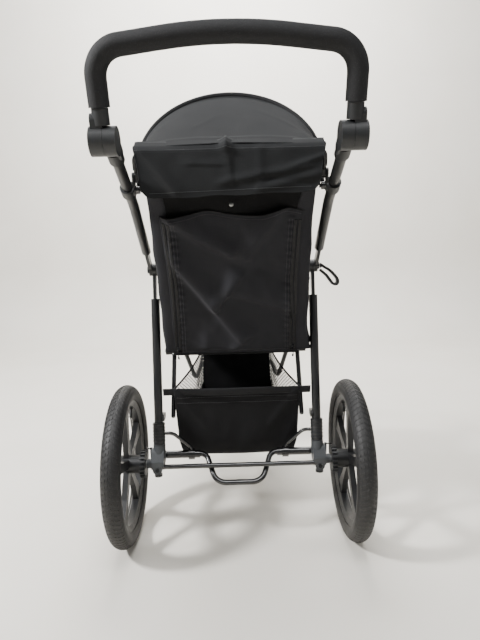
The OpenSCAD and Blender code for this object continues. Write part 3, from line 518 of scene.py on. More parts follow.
# ------------------------------------------------------------------ the cloth
# Plain-woven polyester, dyed black and coated on the back, cut and sewn with
# folded hems. Threads are drawn coarser than real, so that they show.
def woven(name, dark, pale, thread_mm, rough, sheen):
    material, tree, shader = finish_of(name, IOR=1.45, Sheen_Weight=sheen, Sheen_Roughness=0.45,
                                       Specular_IOR_Level=0.22)
    shader.inputs["Sheen Tint"].default_value = linear("#c8c9cc")
    _, base = mottled(tree, shader, dark, pale, 60, rough, 0.05, detail=7.0)
    lie = add(tree, "ShaderNodeUVMap", uv_map="threads")
    warp = add(tree, "ShaderNodeTexWave", {"Vector": lie.outputs[0], "Scale": 1000 / thread_mm / 6.283,
                                           "Distortion": 0.6, "Detail": 1.0}, bands_direction="X")
    weft = add(tree, "ShaderNodeTexWave", {"Vector": lie.outputs[0], "Scale": 1000 / thread_mm / 6.283,
                                           "Distortion": 0.6, "Detail": 1.0}, bands_direction="Y")
    threads = add(tree, "ShaderNodeMath", {0: warp.outputs["Fac"], 1: weft.outputs["Fac"]}, operation="MULTIPLY")
    shade = add(tree, "ShaderNodeMix", {"Factor": threads.outputs[0], "A": base.outputs["Result"],
                                        "B": linear(pale)}, data_type="RGBA")
    tree.links.new(shade.outputs["Result"], shader.inputs["Base Color"])
    bump = add(tree, "ShaderNodeBump", {"Height": threads.outputs[0], "Strength": 0.35, "Distance": 0.0004})
    tree.links.new(bump.outputs["Normal"], shader.inputs["Normal"])
    return material


body_cloth = woven("woven_polyester_seat_cloth", "#19191c", "#27272b", 1.6, 0.74, 0.06)
hood_cloth = woven("woven_polyester_hood_cloth", "#131415", "#1f2021", 1.6, 0.84, 0.04)
basket_cloth = woven("woven_polyester_basket_cloth", "#0f0f10", "#18181a", 1.8, 0.82, 0.05)
binding_tape = woven("ribbed_polyester_binding", "#101011", "#1d1d1f", 2.2, 0.7, 0.06)
sewing_thread, tree, shader = finish_of("twisted_polyester_thread", Roughness=0.6)
mottled(tree, shader, "#2c2c2e", "#4a4a4d", 6, 0.6, 0.05)


def cloth(name, rows, material, thick_mm=1.2):
    """A closed sheet of cloth from a grid of points in metres. Threads are laid out in a UV map in metres."""
    grid = np.asarray(rows, float)
    way = np.cross(np.gradient(grid, axis=0), np.gradient(grid, axis=1))
    way /= np.linalg.norm(way, axis=2, keepdims=True) + 1e-12
    half = way * thick_mm / 2000
    high, wide = grid.shape[:2]
    points = np.concatenate([(grid + half).reshape(-1, 3), (grid - half).reshape(-1, 3)])
    count = high * wide
    faces = []
    for i in range(high - 1):
        for j in range(wide - 1):
            a, b, c, d = i * wide + j, (i + 1) * wide + j, (i + 1) * wide + j + 1, i * wide + j + 1
            faces += [(a, b, c, d), (d + count, c + count, b + count, a + count)]
    foot = (high - 1) * wide
    for j in range(wide - 1):
        faces += [(j + 1, j + 1 + count, j + count, j),
                  (foot + j, foot + j + count, foot + j + 1 + count, foot + j + 1)]
    for i in range(high - 1):
        a, b = i * wide, (i + 1) * wide
        faces.append((a, a + count, b + count, b))
        a, b = a + wide - 1, b + wide - 1
        faces.append((b, b + count, a + count, a))
    piece = new_piece(name, points, faces, material)
    across = np.concatenate([[0], np.cumsum(np.linalg.norm(np.diff(grid, axis=1), axis=2).mean(0))])
    down = np.concatenate([[0], np.cumsum(np.linalg.norm(np.diff(grid, axis=0), axis=2).mean(1))])
    lie = piece.data.uv_layers.new(name="threads")
    corner = np.zeros(len(piece.data.loops), int)
    piece.data.loops.foreach_get("vertex_index", corner)
    corner %= count
    lie.data.foreach_set("uv", np.stack([across[corner % wide], down[corner // wide]], 1).ravel())
    piece["cut"] = [float(across[-1]), float(down[-1])]
    spread = np.linalg.norm(np.cross(np.diff(grid, axis=0)[:, :-1], np.diff(grid, axis=1)[:-1]), axis=2).sum()
    piece["cloth_area"] = float(spread)
    return piece


def cut_from(piece):
    """Hands the sheet back as it is."""
    return piece


def fold_line(x, v, start, end, height, above, below):
    """Height of a fold in the cloth from start to end, which falls off over two different widths."""
    start, end = np.array(start, float), np.array(end, float)
    length = np.linalg.norm(end - start)
    way = (end - start) / length
    on = (x - start[0]) * way[0] + (v - start[1]) * way[1]
    off = (v - start[1]) * way[0] - (x - start[0]) * way[1]
    beyond = np.maximum(0, np.maximum(-on, on - length))
    return height * np.exp(-(off / np.where(off > 0, above, below)) ** 2 - (beyond / 18) ** 2)


def folds(x, v, lines):
    """Height of several folds together. Each line says start, end, height, above and below."""
    return sum(fold_line(x, v, *line) for line in lines)


def rumpled(x, v, size, seed, waves=7):
    """Soft irregular undulation of cloth, between about -1 and 1."""
    draw = np.random.default_rng(seed)
    total = 0
    for _ in range(waves):
        a, b = draw.uniform(0, math.pi, 2)
        rate = 2 * math.pi / (size * draw.uniform(0.7, 1.8))
        bend = 1.5 * np.sin(rate * 0.45 * (x * math.cos(b) + v * math.sin(b)) + draw.uniform(0, 6))
        total = total + np.sin(rate * (x * math.cos(a) + v * math.sin(a)) + bend + draw.uniform(0, 6))
    return total / waves * 1.8


def stitch_shape(length_mm=2.6, thick_mm=0.45):
    half = length_mm / 2000
    return swept_tube([(0, 0, -half), (0, 0, -half * 0.7), (0, 0, half * 0.7), (0, 0, half)],
                      [thick_mm / 3000, thick_mm / 1000, thick_mm / 1000, thick_mm / 3000], 5)


def stitched(name, paths, body, pitch_mm=4.2):
    """A row of thread stitches along each path."""
    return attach(laid(name, paths, pitch_mm, stitch_shape(), sewing_thread), body)


# ------------------------------------------------------- rear cover of the seat
# A loose curtain of seat cloth behind the backrest. Two coil zips run down its
# sides, gather it a little, and let it drop when the backrest leans back. It
# hangs in deep diagonal folds from its upper corners.
lean = math.radians(115)
back_up = np.array([0, math.cos(lean), math.sin(lean)])
back_out = -np.array([0, math.sin(lean), -math.cos(lean)])
back_foot = np.array(place(0, 60, 480))


def on_back(x, v, out):
    """A point on the leaning back: x across, v up it and out behind it, in millimetres."""
    x, v, out = np.broadcast_arrays(np.asarray(x, float), v, out)
    spot = back_foot + v[..., None] / 1000 * back_up + out[..., None] / 1000 * back_out
    spot[..., 0] += x / 1000
    return spot


def curtain_out(x, v):
    """How far the curtain stands behind the back, in millimetres."""
    out = 14.5 + 1.8 * rumpled(x, v, 120, 11) + 0.6 * rumpled(x, v, 42, 12)
    out = out + folds(x, v, [
        ((-152, 374), (-8, 284), 16, 32, 15), ((34, 276), (108, 398), 16, 34, 16),
        ((-168, 308), (12, 54), 16, 30, 14), ((-42, 146), (12, 222), 9, 24, 9),
        ((-14, 186), (142, 132), 13, 44, 17), ((-70, 26), (70, 20), 9, 44, 14),
        ((70, 246), (124, 210), -5, 30, 26), ((-130, 200), (-60, 110), -4, 16, 26), ((-18, 6), (40, 56), 4, 9, 14)])
    gather = np.exp(-((np.abs(x) - 132) / 9) ** 2)
    out = out + 1.5 * gather * np.sin(v * 2 * math.pi / 17 + 2 * np.sin(v / 60)) + 1.5 * gather
    edge = np.clip((np.abs(x) - 138) / 18, 0, 1)
    out = out * (1 - edge) + 15 * edge
    foot = np.clip(1 - v / 14, 0, 1)
    return np.clip(out, 8, 37) * (1 - foot) + 13 * foot


def curtain_top(x):
    """Height of the curtain's wavy top edge."""
    return 374 + 8 * np.exp(-((x + 52) / 34) ** 2) + 15 * np.exp(-((x - 112) / 36) ** 2) - 3 * np.sin(x / 40)


CURTAIN_HALF = 158
CURTAIN_FOOT = -6
CURTAIN_WAIST = 0.035  # how much narrower it is half way up
across, share = np.meshgrid(np.linspace(-CURTAIN_HALF, CURTAIN_HALF, 150), np.linspace(0, 1, 170))
waist = 1 - CURTAIN_WAIST * np.sin(share * math.pi)
height = CURTAIN_FOOT + share * (curtain_top(across) - CURTAIN_FOOT)
curtain = cloth("back_curtain", on_back(across * waist, height, curtain_out(across, height)), body_cloth)
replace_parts(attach(curtain, "backrest"), "back_panel")


def curtain_line(x, v, proud=0.9):
    """A line drawn on the curtain, a little proud of its face. x or v may be one number."""
    x, v = np.broadcast_arrays(np.asarray(x, float), v)
    share = np.clip((v - CURTAIN_FOOT) / (curtain_top(x) - CURTAIN_FOOT), 0, 1)
    width = 1 - CURTAIN_WAIST * np.sin(share * math.pi)
    return on_back(x * width, v, curtain_out(x, v) + proud)


hem_x = np.linspace(-154, 154, 90)
hem = new_piece("back_curtain_hem", *swept_tube(
    curtain_line(hem_x, curtain_top(hem_x) - 1.5, 0), 0.0017, 8), binding_tape)
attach(hem, "backrest")
bottom_hem = new_piece("back_curtain_foot_binding", *swept_tube(
    curtain_line(np.linspace(-157, 157, 70), -4, 0), 0.0026, 8), binding_tape)
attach(bottom_hem, "backrest")

# Moulded coil zips: two rows of teeth on tape, with a slider and a knotted pull
zip_coil, tree, shader = finish_of("moulded_polyester_zip_coil", IOR=1.5)
coords, _ = mottled(tree, shader, "#101011", "#1c1c1e", 8, 0.4, 0.06)
grained(tree, shader, coords, 0.9, 0.05)


def zip_tooth(side):
    points = [Vector((side * x, y, z)) for z in (-0.0006, 0.0006)
              for x, y in ((0.0002, -0.0005), (0.0030, -0.0005), (0.0030, 0.0007), (0.0016, 0.0013), (0.0002, 0.0009))]
    faces = [(k, (k + 1) % 5, 5 + (k + 1) % 5, 5 + k) for k in range(5)] + [(4, 3, 2, 1, 0), (5, 6, 7, 8, 9)]
    return points, [tuple(reversed(f)) for f in faces] if side < 0 else faces


for side, name in SIDES:
    for row, at_x in (("inner", 141), ("outer", 151)):
        line = curtain_line(side * at_x, np.linspace(4, 356, 120), 1.3)
        teeth = laid(f"zip_teeth_{row}_{name}", [line], 2.6, gathered([zip_tooth(1), zip_tooth(-1)]), zip_coil,
                     smooth=False)
        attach(teeth, "backrest")
        tape = [curtain_line(side * (at_x + edge), np.linspace(2, 358, 120), 0.8) for edge in (-3.6, -1.2, 1.2, 3.6)]
        tape_piece = cloth(f"zip_tape_{row}_{name}", np.stack(tape, 1)[:, ::side], binding_tape, 0.8)
        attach(tape_piece, "backrest")
    low = curtain_line(side * 146, np.array([8, 22]), 3.0)
    slider = new_piece(f"zip_slider_{name}", *swept_tube(low, [0.0045, 0.0032], 10, flat=0.6, side_way=(1, 0, 0)),
                       black_oxide)
    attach(slider, "backrest")
    pull = [Vector(low[0]) + Vector((side * 0.001 * math.sin(k / 2), -0.0015 - 0.0004 * k, -0.0024 * k))
            for k in range(9)]
    pull_piece = new_piece(f"zip_pull_{name}", *swept_tube(pull, [0.0011] * 6 + [0.0024, 0.0026, 0.0014], 8),
                           binding_tape)
    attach(pull_piece, "backrest")
seam_x = np.linspace(-150, 150, 90)
seams = [curtain_line(x, np.linspace(8, 358, 130)) for x in (-134, -127, 127, 134)]
seams += [curtain_line(seam_x, curtain_top(seam_x) - 9), curtain_line(np.linspace(-150, 150, 70), 6)]
stitched("back_curtain_stitches", seams, "backrest")
cut_from(curtain)


# ------------------------------------------------------------ hood: canopy
# One curved sheet from the rear bow to the front bow, drawn tight over both,
# with a welted seam just in front of the rear bow.
hood_pivot = np.array(pivots["hood"])
BOW_R, BOW_LEG, FRONT_ANGLE, REAR_ANGLE, REAR_RISE = 191, 83, math.radians(54.6), math.radians(110), 80


def on_bow(x, reach, angle):
    """A point at a reach from the hood's pivot, in the plane of a bow."""
    x, reach, angle = np.broadcast_arrays(np.asarray(x, float), reach, angle)
    return hood_pivot + np.stack([x, reach * np.cos(angle), reach * np.sin(angle)], -1) / 1000


def front_edge(a):
    """The canopy's front edge along the front bow, a from 0 at the right to pi at the left."""
    s = np.sin(np.minimum(a, math.pi - a) * 4)
    low = np.where(np.minimum(a, math.pi - a) * 4 < math.pi / 2, 43 * (1 - s), 0)
    return BOW_R * np.cos(a), np.maximum(40, BOW_LEG - low + BOW_R * np.sin(a))


def rear_edge(a):
    c, s = np.cos(a), np.sin(a)
    return (BOW_R + 1) * np.sign(c) * np.abs(c) ** 0.4, 40 + (REAR_RISE + 5.0 - 40) * np.abs(s) ** 0.4


a, t = np.meshgrid(np.linspace(0, math.pi, 200), np.linspace(0, 1, 56), indexing="ij")
fx, fr = front_edge(a)
rx, rr = rear_edge(a)
front, rear = on_bow(fx, fr, FRONT_ANGLE), on_bow(rx, rr, REAR_ANGLE)
skin = rear + (front - rear) * t[..., None]
middle = hood_pivot + np.array([0, -0.02, 0.05])
outward = skin - middle
outward /= np.linalg.norm(outward, axis=2, keepdims=True)
xs = skin[..., 0] * 1000
lift = -5.5 * np.sin(t * math.pi) * np.sin(a) + 1.3 * rumpled(xs, t * 240, 95, 31) * np.sin(t * math.pi)
welt = 1.8 * np.exp(-((t - 0.1 - 0.035 * np.sin(a) ** 6) / 0.022) ** 2) * (1 - 0.6 * np.cos(a) ** 8)
lift += welt + folds(xs, t * 240, [
    ((44, 60), (40, 118), 2.2, 7, 4), ((-66, 96), (-30, 132), 1.6, 9, 5), ((70, 160), (130, 118), 1.6, 12, 6)])
skin = skin + outward * lift[..., None] / 1000
skin = skin + outward * 0.0045 * (1 - np.clip(t * 6, 0, 1))[..., None]
canopy = cloth("hood_canopy_cloth", skin[:, ::-1], hood_cloth, 1.3)
canopy["cut"] = [float(canopy["cut"][1]), float(canopy["cut"][0])]
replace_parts(canopy, "hood_canopy")
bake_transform(canopy)
cut_from(canopy)

# Thick piping sleeve round the front bow
arch = np.linspace(0, math.pi, 110)
bow_line = [on_bow(BOW_R, r, FRONT_ANGLE) for r in np.linspace(22, 80, 8)]
bow_line += [on_bow(BOW_R * math.cos(q), BOW_LEG + BOW_R * math.sin(q), FRONT_ANGLE) for q in arch]
bow_line += [on_bow(-BOW_R, r, FRONT_ANGLE) for r in np.linspace(80, 22, 8)]
piping = new_piece("hood_front_piping", *swept_tube(bow_line, 0.0066, 14), binding_tape)
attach(piping, "hood_front")


# -------------------------------------------------------------- hood: rear flap
# A flap sewn over the rear bow hides the vent. Its top corners stick out as
# ears, it is pinched to a small tent at the middle, and its hem is rounded.
def flap_point(x, d):
    """A point on the flap: x across and d down it from the crest of the rear bow, in millimetres."""
    x, d = np.broadcast_arrays(np.asarray(x, float), d)
    reach = REAR_RISE + 5.2
    crest = on_bow(x, reach, REAR_ANGLE)
    out = 3.0 * np.clip(d / 12, 0, 1) + 1.0 * rumpled(x, d, 75, 51) * np.clip(d / 20, 0, 1)
    out += 5.0 * np.exp(-(((x + 8) / 11) ** 2)) * np.exp(-(((d - 4) / 10) ** 2))
    out += folds(x, -d, [
        ((-4, -6), (0, -60), 2.4, 7, 12), ((-180, -4), (-112, -88), 5.5, 20, 7),
        ((-186, -26), (-128, -92), -3.0, 8, 16), ((-8, -72), (150, -46), 4.2, 9, 7),
        ((60, -88), (172, -62), 4.0, 9, 8), ((140, -40), (180, -28), 3.4, 6, 5), ((70, -66), (160, -78), -2.5, 8, 7),
        ((-72, -36), (-28, -38), 2.0, 8, 4), ((60, -10), (60, -70), 1.6, 10, 10)])
    out = np.clip(out, -1.0, 12)
    down = crest.copy()
    down[..., 2] -= d / 1000
    down[..., 1] -= out / 1000 + 0.0045 * np.clip(d / 8, 0, 1)
    tent = 7.5 * np.exp(-np.abs((x + 8) / 9)) * np.exp(-d / 14)
    down[..., 2] += tent / 1000
    down[..., 1] -= 0.4 * tent / 1000
    return down


def flap_half(s):
    """Half width of the flap at a share of its drop, with round lower corners."""
    corner = np.clip((s - 0.76) / 0.24, 0, 1)
    return 192 - 15 * s ** 0.7 - 24 * (1 - np.sqrt(np.clip(1 - corner ** 2, 0, 1)))


FLAP_DROP, FLAP_SKEW, FLAP_WAVE = 97, 3.5, 1.2  # its hem hangs lower on the left, and waves a little


def flap_drop(q):
    """How far the hem hangs down, q from -1 at the left corner to 1 at the right."""
    return FLAP_DROP - FLAP_SKEW * q + FLAP_WAVE * np.sin(q * 9)


share, across = np.meshgrid(np.linspace(0, 1, 70), np.linspace(-1, 1, 190), indexing="ij")
x = across * flap_half(share)
drop = share * flap_drop(across)
front_lap = [flap_point(across[0] * 190, np.full(190, 0.0)) + np.array([0, q * 0.02, q * 0.0135 - 0.0006])
             for q in (1.0, 0.66, 0.33)]
flap_grid = np.concatenate([np.array(front_lap), flap_point(x, drop)])
flap = cloth("hood_flap_cloth", flap_grid[:, ::-1], hood_cloth, 1.3)
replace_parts(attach(flap, "push_frame"), "hood_flap")
edge_share = np.linspace(0.02, 1, 60)
rim = [flap_point(-flap_half(s), s * (FLAP_DROP + FLAP_SKEW)) for s in edge_share]
rim += [flap_point(q * flap_half(1.0), flap_drop(q)) for q in np.linspace(-1, 1, 90)[1:-1]]
rim += [flap_point(flap_half(s), s * (FLAP_DROP - FLAP_SKEW)) for s in edge_share[::-1]]
flap_hem = new_piece("hood_flap_hem", *swept_tube(rim, 0.0014, 8), hood_cloth)
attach(flap_hem, "push_frame")
proud = np.array([0, -0.0009, 0])
hem_line = [flap_point(q * 160, FLAP_DROP - 9 - FLAP_SKEW * q) + proud for q in np.linspace(-1, 1, 120)]
top_line = [flap_point(q * 186, 8.0) + proud for q in np.linspace(-1, 1, 120)]
stitched("hood_flap_stitches", [hem_line, top_line], "push_frame")
cut_from(flap)

# A press stud on the dark band under the flap
stud_at = place(0, -133, 832)
stud = new_piece("vent_press_stud", *swept_tube(
    [stud_at, stud_at + Vector((0, -0.0015, 0)), stud_at + Vector((0, -0.003, 0)), stud_at + Vector((0, -0.0034, 0))],
    [0.005, 0.005, 0.0036, 0.0016], 20), zinc_plate)
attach(stud, "push_frame")


# ------------------------------------------------------------- side strips
# A long strip of seat cloth on each side joins the hood's corner to the seat. It
# wraps round from the zip onto the side.
fold_at = place(0, 80, 688)


def strip_rear(h):
    """Where the strip's rear edge is, h from 0 at the seat to 1 at the hood's corner."""
    v = np.minimum(h, 0.82) / 0.82 * 378 + 2
    low = on_back(0 * v, v, 11.5)
    high = np.array(place(0, -186, 922))
    over = np.clip((h - 0.82) / 0.18, 0, 1)[:, None]
    return low * (1 - over) + high * over


def strip_front(h):
    """Where the strip's front edge is on the stroller's side."""
    knots = np.array([0, 0.42, 1.0])
    ys = np.interp(h, knots, [62, 30, -78])
    zs = np.interp(h, knots, [500, 690, 914])
    return np.stack([0 * h, rear_axle.y + ys / 1000, zs / 1000], 1)


for side, name in SIDES:
    h = np.linspace(0, 1, 110)
    c = np.linspace(0, 1, 34)
    rear, ahead = strip_rear(h)[:, None], strip_front(h)[:, None]
    turn = np.clip(c / 0.24, 0, 1) * math.pi / 2
    inner = 143.5 + 20 * np.clip((h - 0.84) / 0.16, 0, 1)[:, None]
    outer = 180.5 + (side > 0) * 13 * np.exp(-h * 16)[:, None]
    x = inner + (outer - inner) * np.sin(turn)[None]
    on = (1 - np.cos(turn)) * 0.10 + np.clip((c - 0.24) / 0.76, 0, 1) * 0.90
    grid = rear + (ahead - rear) * on[None, :, None]
    wave = 1.6 * rumpled(h[:, None] * 420, c[None] * 120, 90, 71 + side) - 3.2 * np.sin(math.pi * c)[None] ** 2
    wave = wave * np.clip(c * 5, 0, 1)[None] + 2.0 * np.sin(h * 21 + side)[:, None] * np.exp(-c * 6)[None]
    grid[..., 0] = side * (x + wave) / 1000
    grid[..., 1] -= 0.0035 * np.exp(-((c - 0.1) / 0.12) ** 2)[None] * (1 + 0.5 * np.sin(h * 14)[:, None])
    strip = cloth(f"side_strip_{name}", grid if side > 0 else grid[:, ::-1], body_cloth, 1.2)
    if side < 0:
        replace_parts(strip, "side_panels")
    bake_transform(strip)
    edge = new_piece(f"side_strip_binding_{name}", *swept_tube(grid[:, -1], 0.0017, 8), binding_tape)
    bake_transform(edge)
    cut_from(strip)


# ---------------------------------------------------------------- vent panel
# Above the curtain a knitted net panel lets air through to the seat. The hood's
# flap hangs over most of it. Its near-black colour is partly painted shade.
# Painted shade: the net is coloured darker than the other cloth, for the dark under the hood's flap, on top of the
# net's own black.
net_cloth_with_painted_shade = woven("knitted_net_darkened_with_painted_shade", "#070708", "#101011", 2.6, 0.9, 0.02)
x, s = np.meshgrid(np.linspace(-150, 150, 60), np.linspace(0, 1, 30))
low, high = on_back(x, 356.0, 8.0), np.array(place(0, -180, 918)) + np.stack([x / 1000, 0 * x, 0 * x], -1)
vent = low * (1 - s[..., None]) + high * s[..., None]
vent[..., 1] -= 0.002 * rumpled(x, s * 90, 60, 61) * np.sin(s * math.pi)
vent_panel = cloth("vent_net_panel", vent, net_cloth_with_painted_shade, 1.0)
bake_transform(vent_panel)
cut_from(vent_panel)


# -------------------------------------------------------------------- sling
# The seat itself is a sling of doubled cloth, wrapped over both rails and
# closed behind. The stuffed cushion lies in it.
def sling_point(x, y):
    """A point on the sling, millimetres across and forward of the rear axle."""
    x, y = np.broadcast_arrays(np.asarray(x, float), y)
    rail = 481 + (y - 70) * 21 / 280
    wrap = np.clip((np.abs(x) - 163) / 18, 0, 1)
    low = 489.5 - 2.5 * np.cos(np.clip(x / 160, -1, 1) * math.pi / 2) ** 2 - 0.6 * rumpled(x, y, 110, 81)
    z = low + (rail + 9.4 - low) * np.clip((np.abs(x) - 158) / 8, 0, 1) ** 1.5 - 16 * np.clip(wrap - 0.45, 0, 1) ** 1.4
    rise = np.clip((86 - y) / 24, 0, 1)
    z = z - 9 * rise ** 2
    return np.stack([x / 1000, rear_axle.y + y / 1000, z / 1000], -1)


x, y = np.meshgrid(np.linspace(-183, 183, 120), np.linspace(66, 336, 80))
sling = cloth("seat_sling", sling_point(x, y), body_cloth, 1.4)
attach(sling, "front_frame")
cut_from(sling)


# --------------------------------------------------------------- stuffed parts
# Cushion, back pad and calf pad: fibre wadding in woven cloth, quilted in
# channels. Each is filled by the cloth simulation.
pad_cloth = woven("quilted_polyester_pad_cloth", "#1c1c1e", "#2a2a2d", 1.6, 0.82, 0.1)


def slab(corners_low, corners_high, frame_of=None):
    """A plain block from two corners, turned and moved by frame_of."""
    (x0, y0, z0), (x1, y1, z1) = corners_low, corners_high
    points = [Vector((x, y, z)) for z in (z0, z1) for x, y in ((x0, y0), (x1, y0), (x1, y1), (x0, y1))]
    faces = [(3, 2, 1, 0), (4, 5, 6, 7), (0, 1, 5, 4), (1, 2, 6, 5), (2, 3, 7, 6), (3, 0, 4, 7)]
    return [frame_of @ p for p in points] if frame_of else points, faces


def stuffed(name, block, cap_mm, round_mm=9, voxel=0.0055):
    """Fills a slab of cloth with air pressure, and keeps how far each point may move to a cap."""
    piece = new_piece(name, *block, pad_cloth)
    bevel = piece.modifiers.new("round", "BEVEL")
    bevel.width, bevel.segments, bevel.limit_method = round_mm / 1000, 4, "NONE"
    remesh = piece.modifiers.new("close", "REMESH")
    remesh.mode, remesh.voxel_size, remesh.use_smooth_shade = "VOXEL", voxel, True
    made_plain(piece)
    count = len(piece.data.vertices)
    flat = np.zeros(count * 3)
    piece.data.vertices.foreach_get("co", flat)
    filling = piece.modifiers.new("fill", "CLOTH")
    filling.settings.use_pressure = True
    filling.settings.uniform_pressure_force = 4.0
    filling.settings.quality = 5
    filling.settings.effector_weights.gravity = 0
    filling.settings.tension_stiffness = filling.settings.compression_stiffness = 25
    filling.collision_settings.use_collision = False
    filling.point_cache.frame_start, filling.point_cache.frame_end = 1, 20
    for step in range(1, 21):
        bpy.context.scene.frame_set(step)
    evaluated = piece.evaluated_get(bpy.context.evaluated_depsgraph_get())
    full = np.zeros(count * 3)
    evaluated.data.vertices.foreach_get("co", full)
    moved = (full - flat).reshape(-1, 3)
    far = np.linalg.norm(moved, axis=1, keepdims=True)
    moved *= np.minimum(1, cap_mm / 1000 / np.maximum(far, 1e-9))
    piece.modifiers.clear()
    piece.data.vertices.foreach_set("co", flat + moved.ravel())
    bpy.context.scene.frame_set(1)
    finer = piece.modifiers.new("finer", "SUBSURF")
    finer.levels = finer.render_levels = 1
    made_plain(piece)
    piece.data.polygons.foreach_set("use_smooth", [True] * len(piece.data.polygons))
    return piece


def quilted(piece, channels, face_way, depth_mm=3.0, width_mm=7.0):
    """Presses sewn channels into the face that looks face_way. channels gives each point's distance to the nearest."""
    count = len(piece.data.vertices)
    co = np.zeros(count * 3)
    piece.data.vertices.foreach_get("co", co)
    co = co.reshape(-1, 3)
    normal = np.zeros(count * 3)
    piece.data.vertices.foreach_get("normal", normal)
    facing = np.clip(normal.reshape(-1, 3) @ np.array(face_way), 0, 1)
    press = depth_mm / 1000 * np.exp(-(channels(co) / (width_mm / 1000)) ** 2) * facing
    co -= press[:, None] * np.array(face_way)
    piece.data.vertices.foreach_set("co", co.ravel())
    piece.data.update()


def dropped_on(piece, path, way):
    """The path laid onto the face of a piece that faces way."""
    tree_of = BVHTree.FromObject(piece, bpy.context.evaluated_depsgraph_get())
    way = Vector(way)
    found = []
    for p in path:
        hit = tree_of.ray_cast(Vector(p) + way * 0.12, -way)
        if hit[0] is not None:
            found.append(hit[0] + way * 0.0003)
    return found


low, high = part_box("seat_cushion")
SWELL = 0.006  # room left at the sides for the filling
cushion = stuffed("seat_cushion_pad",
                  slab(low + Vector((SWELL, SWELL, 0.001)), high - Vector((SWELL, SWELL, 0.010))), 9)
CORNER_REACH = 0.464  # the front corners are cut off where x and y add up to this
for vertex in cushion.data.vertices:
    vertex.co.z = max(vertex.co.z, low.z + 0.0005)
    over = abs(vertex.co.x) + (vertex.co.y - rear_axle.y) - CORNER_REACH
    if over > 0:
        vertex.co.x -= math.copysign(over / 2, vertex.co.x)
        vertex.co.y -= over / 2
seams = [-0.078, 0.078]
rows = [low.y + 0.062, low.y + 0.124]
quilted(cushion, lambda co: np.minimum.reduce([abs(co[:, 0] - s) for s in seams]
                                              + [abs(co[:, 1] - r) for r in rows]), (0, 0, 1))
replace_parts(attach(cushion, "front_frame"), "seat_cushion")
lines = [dropped_on(cushion, [(s, y, 0.5) for y in np.linspace(low.y + 0.012, high.y - 0.012, 60)], (0, 0, 1))
         for s in seams]
lines += [dropped_on(cushion, [(x, r, 0.5) for x in np.linspace(low.x + 0.012, high.x - 0.012, 80)], (0, 0, 1))
          for r in rows]
stitched("seat_cushion_stitches", lines, "front_frame", 4.6)

back_turn = Matrix.Translation(Vector(back_foot)) @ Matrix(((1, 0, 0), tuple([0, -back_out[1], back_up[1]]),
                                                          tuple([0, -back_out[2], back_up[2]]))).to_4x4()
pad_ahead = -Vector(back_out)
back_pad = stuffed("back_pad_quilted",
                   slab(Vector((-0.143, 0.0045, 0.032)), Vector((0.143, 0.0270, 0.374)), back_turn), 8)
quilt_rows = [0.11, 0.19, 0.27, 0.34]
quilted(back_pad, lambda co: np.minimum(
    np.minimum.reduce([abs((co - back_foot) @ back_up - r) for r in quilt_rows]),
    np.minimum(abs(co[:, 0] - 0.1), abs(co[:, 0] + 0.1))), tuple(pad_ahead))
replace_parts(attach(back_pad, "backrest"), "back_pad")


def up_the_back(x, v, ahead):
    return Vector(back_foot) + Vector(back_up) * v + pad_ahead * ahead + Vector((x, 0, 0))


lines = [dropped_on(back_pad, [up_the_back(x, r, 0.02) for x in np.linspace(-0.136, 0.136, 80)], pad_ahead)
         for r in quilt_rows]
lines += [dropped_on(back_pad, [up_the_back(x, v, 0.02) for v in np.linspace(0.045, 0.362, 90)], pad_ahead)
          for x in (-0.1, 0.1)]
stitched("back_pad_stitches", lines, "backrest", 4.6)

top, foot = place(0, 372, 496), place(0, 428, 333)
calf_way = (foot - top).normalized()
calf_turn = Matrix.Translation(top) @ Matrix(((1, 0, 0), (0, -calf_way.z, calf_way.y),
                                              (0, calf_way.y, calf_way.z))).to_4x4()
calf_pad = stuffed("calf_pad", slab(Vector((-0.112, 0.002, 0.006)), Vector((0.112, 0.0115, 0.166)), calf_turn), 4, 4,
                   0.0045)
calf_ahead = Vector((0, -calf_way.z, calf_way.y))
quilted(calf_pad, lambda co: np.minimum(abs(co[:, 0] - 0.04), abs(co[:, 0] + 0.04)), tuple(calf_ahead), 1.6)
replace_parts(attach(calf_pad, "front_frame"), "leg_rest")


# ----------------------------------------------------------------- harness
# Woven polyester webbing in flat straps, and a moulded side-release buckle. Fine
# ribs run across the webbing.
webbing, tree, shader = finish_of("ribbed_polyester_webbing", IOR=1.45, Sheen_Weight=0.2, Sheen_Roughness=0.4)
coords, base = mottled(tree, shader, "#0f0f10", "#1b1b1d", 14, 0.72, 0.05)
lie = add(tree, "ShaderNodeUVMap", uv_map="threads")
ribs = add(tree, "ShaderNodeTexWave", {"Vector": lie.outputs[0], "Scale": 1000 / 2.0 / 6.283}, bands_direction="Y")
bump = add(tree, "ShaderNodeBump", {"Height": ribs.outputs["Fac"], "Strength": 0.6, "Distance": 0.0004})
tree.links.new(bump.outputs["Normal"], shader.inputs["Normal"])


def strap(name, path, width_mm, side_way, body, thick_mm=1.8):
    """A flat strap of webbing along a path of points, its width along side_way."""
    path = [Vector(p) for p in path]
    side_way = Vector(side_way).normalized()
    rows = [[p + side_way * (width_mm / 2000 * q) for q in (-1, -0.5, 0, 0.5, 1)] for p in path]
    piece = cloth(name, rows, webbing, thick_mm)
    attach(piece, body)
    return piece


def smooth_path(knots, count):
    """Points on a smooth line through knots."""
    knots = np.array([tuple(k) for k in knots], float)
    s = np.linspace(0, len(knots) - 1, len(knots))
    t = np.linspace(0, len(knots) - 1, count)
    i = np.clip(t.astype(int), 0, len(knots) - 2)
    f = (t - i)[:, None]
    before, after = knots[np.maximum(i - 1, 0)], knots[np.minimum(i + 2, len(knots) - 1)]
    a, b = knots[i], knots[i + 1]
    return 0.5 * ((2 * a) + (b - before) * f + (2 * before - 5 * a + 4 * b - after) * f ** 2
                  + (3 * a - before - 3 * b + after) * f ** 3)


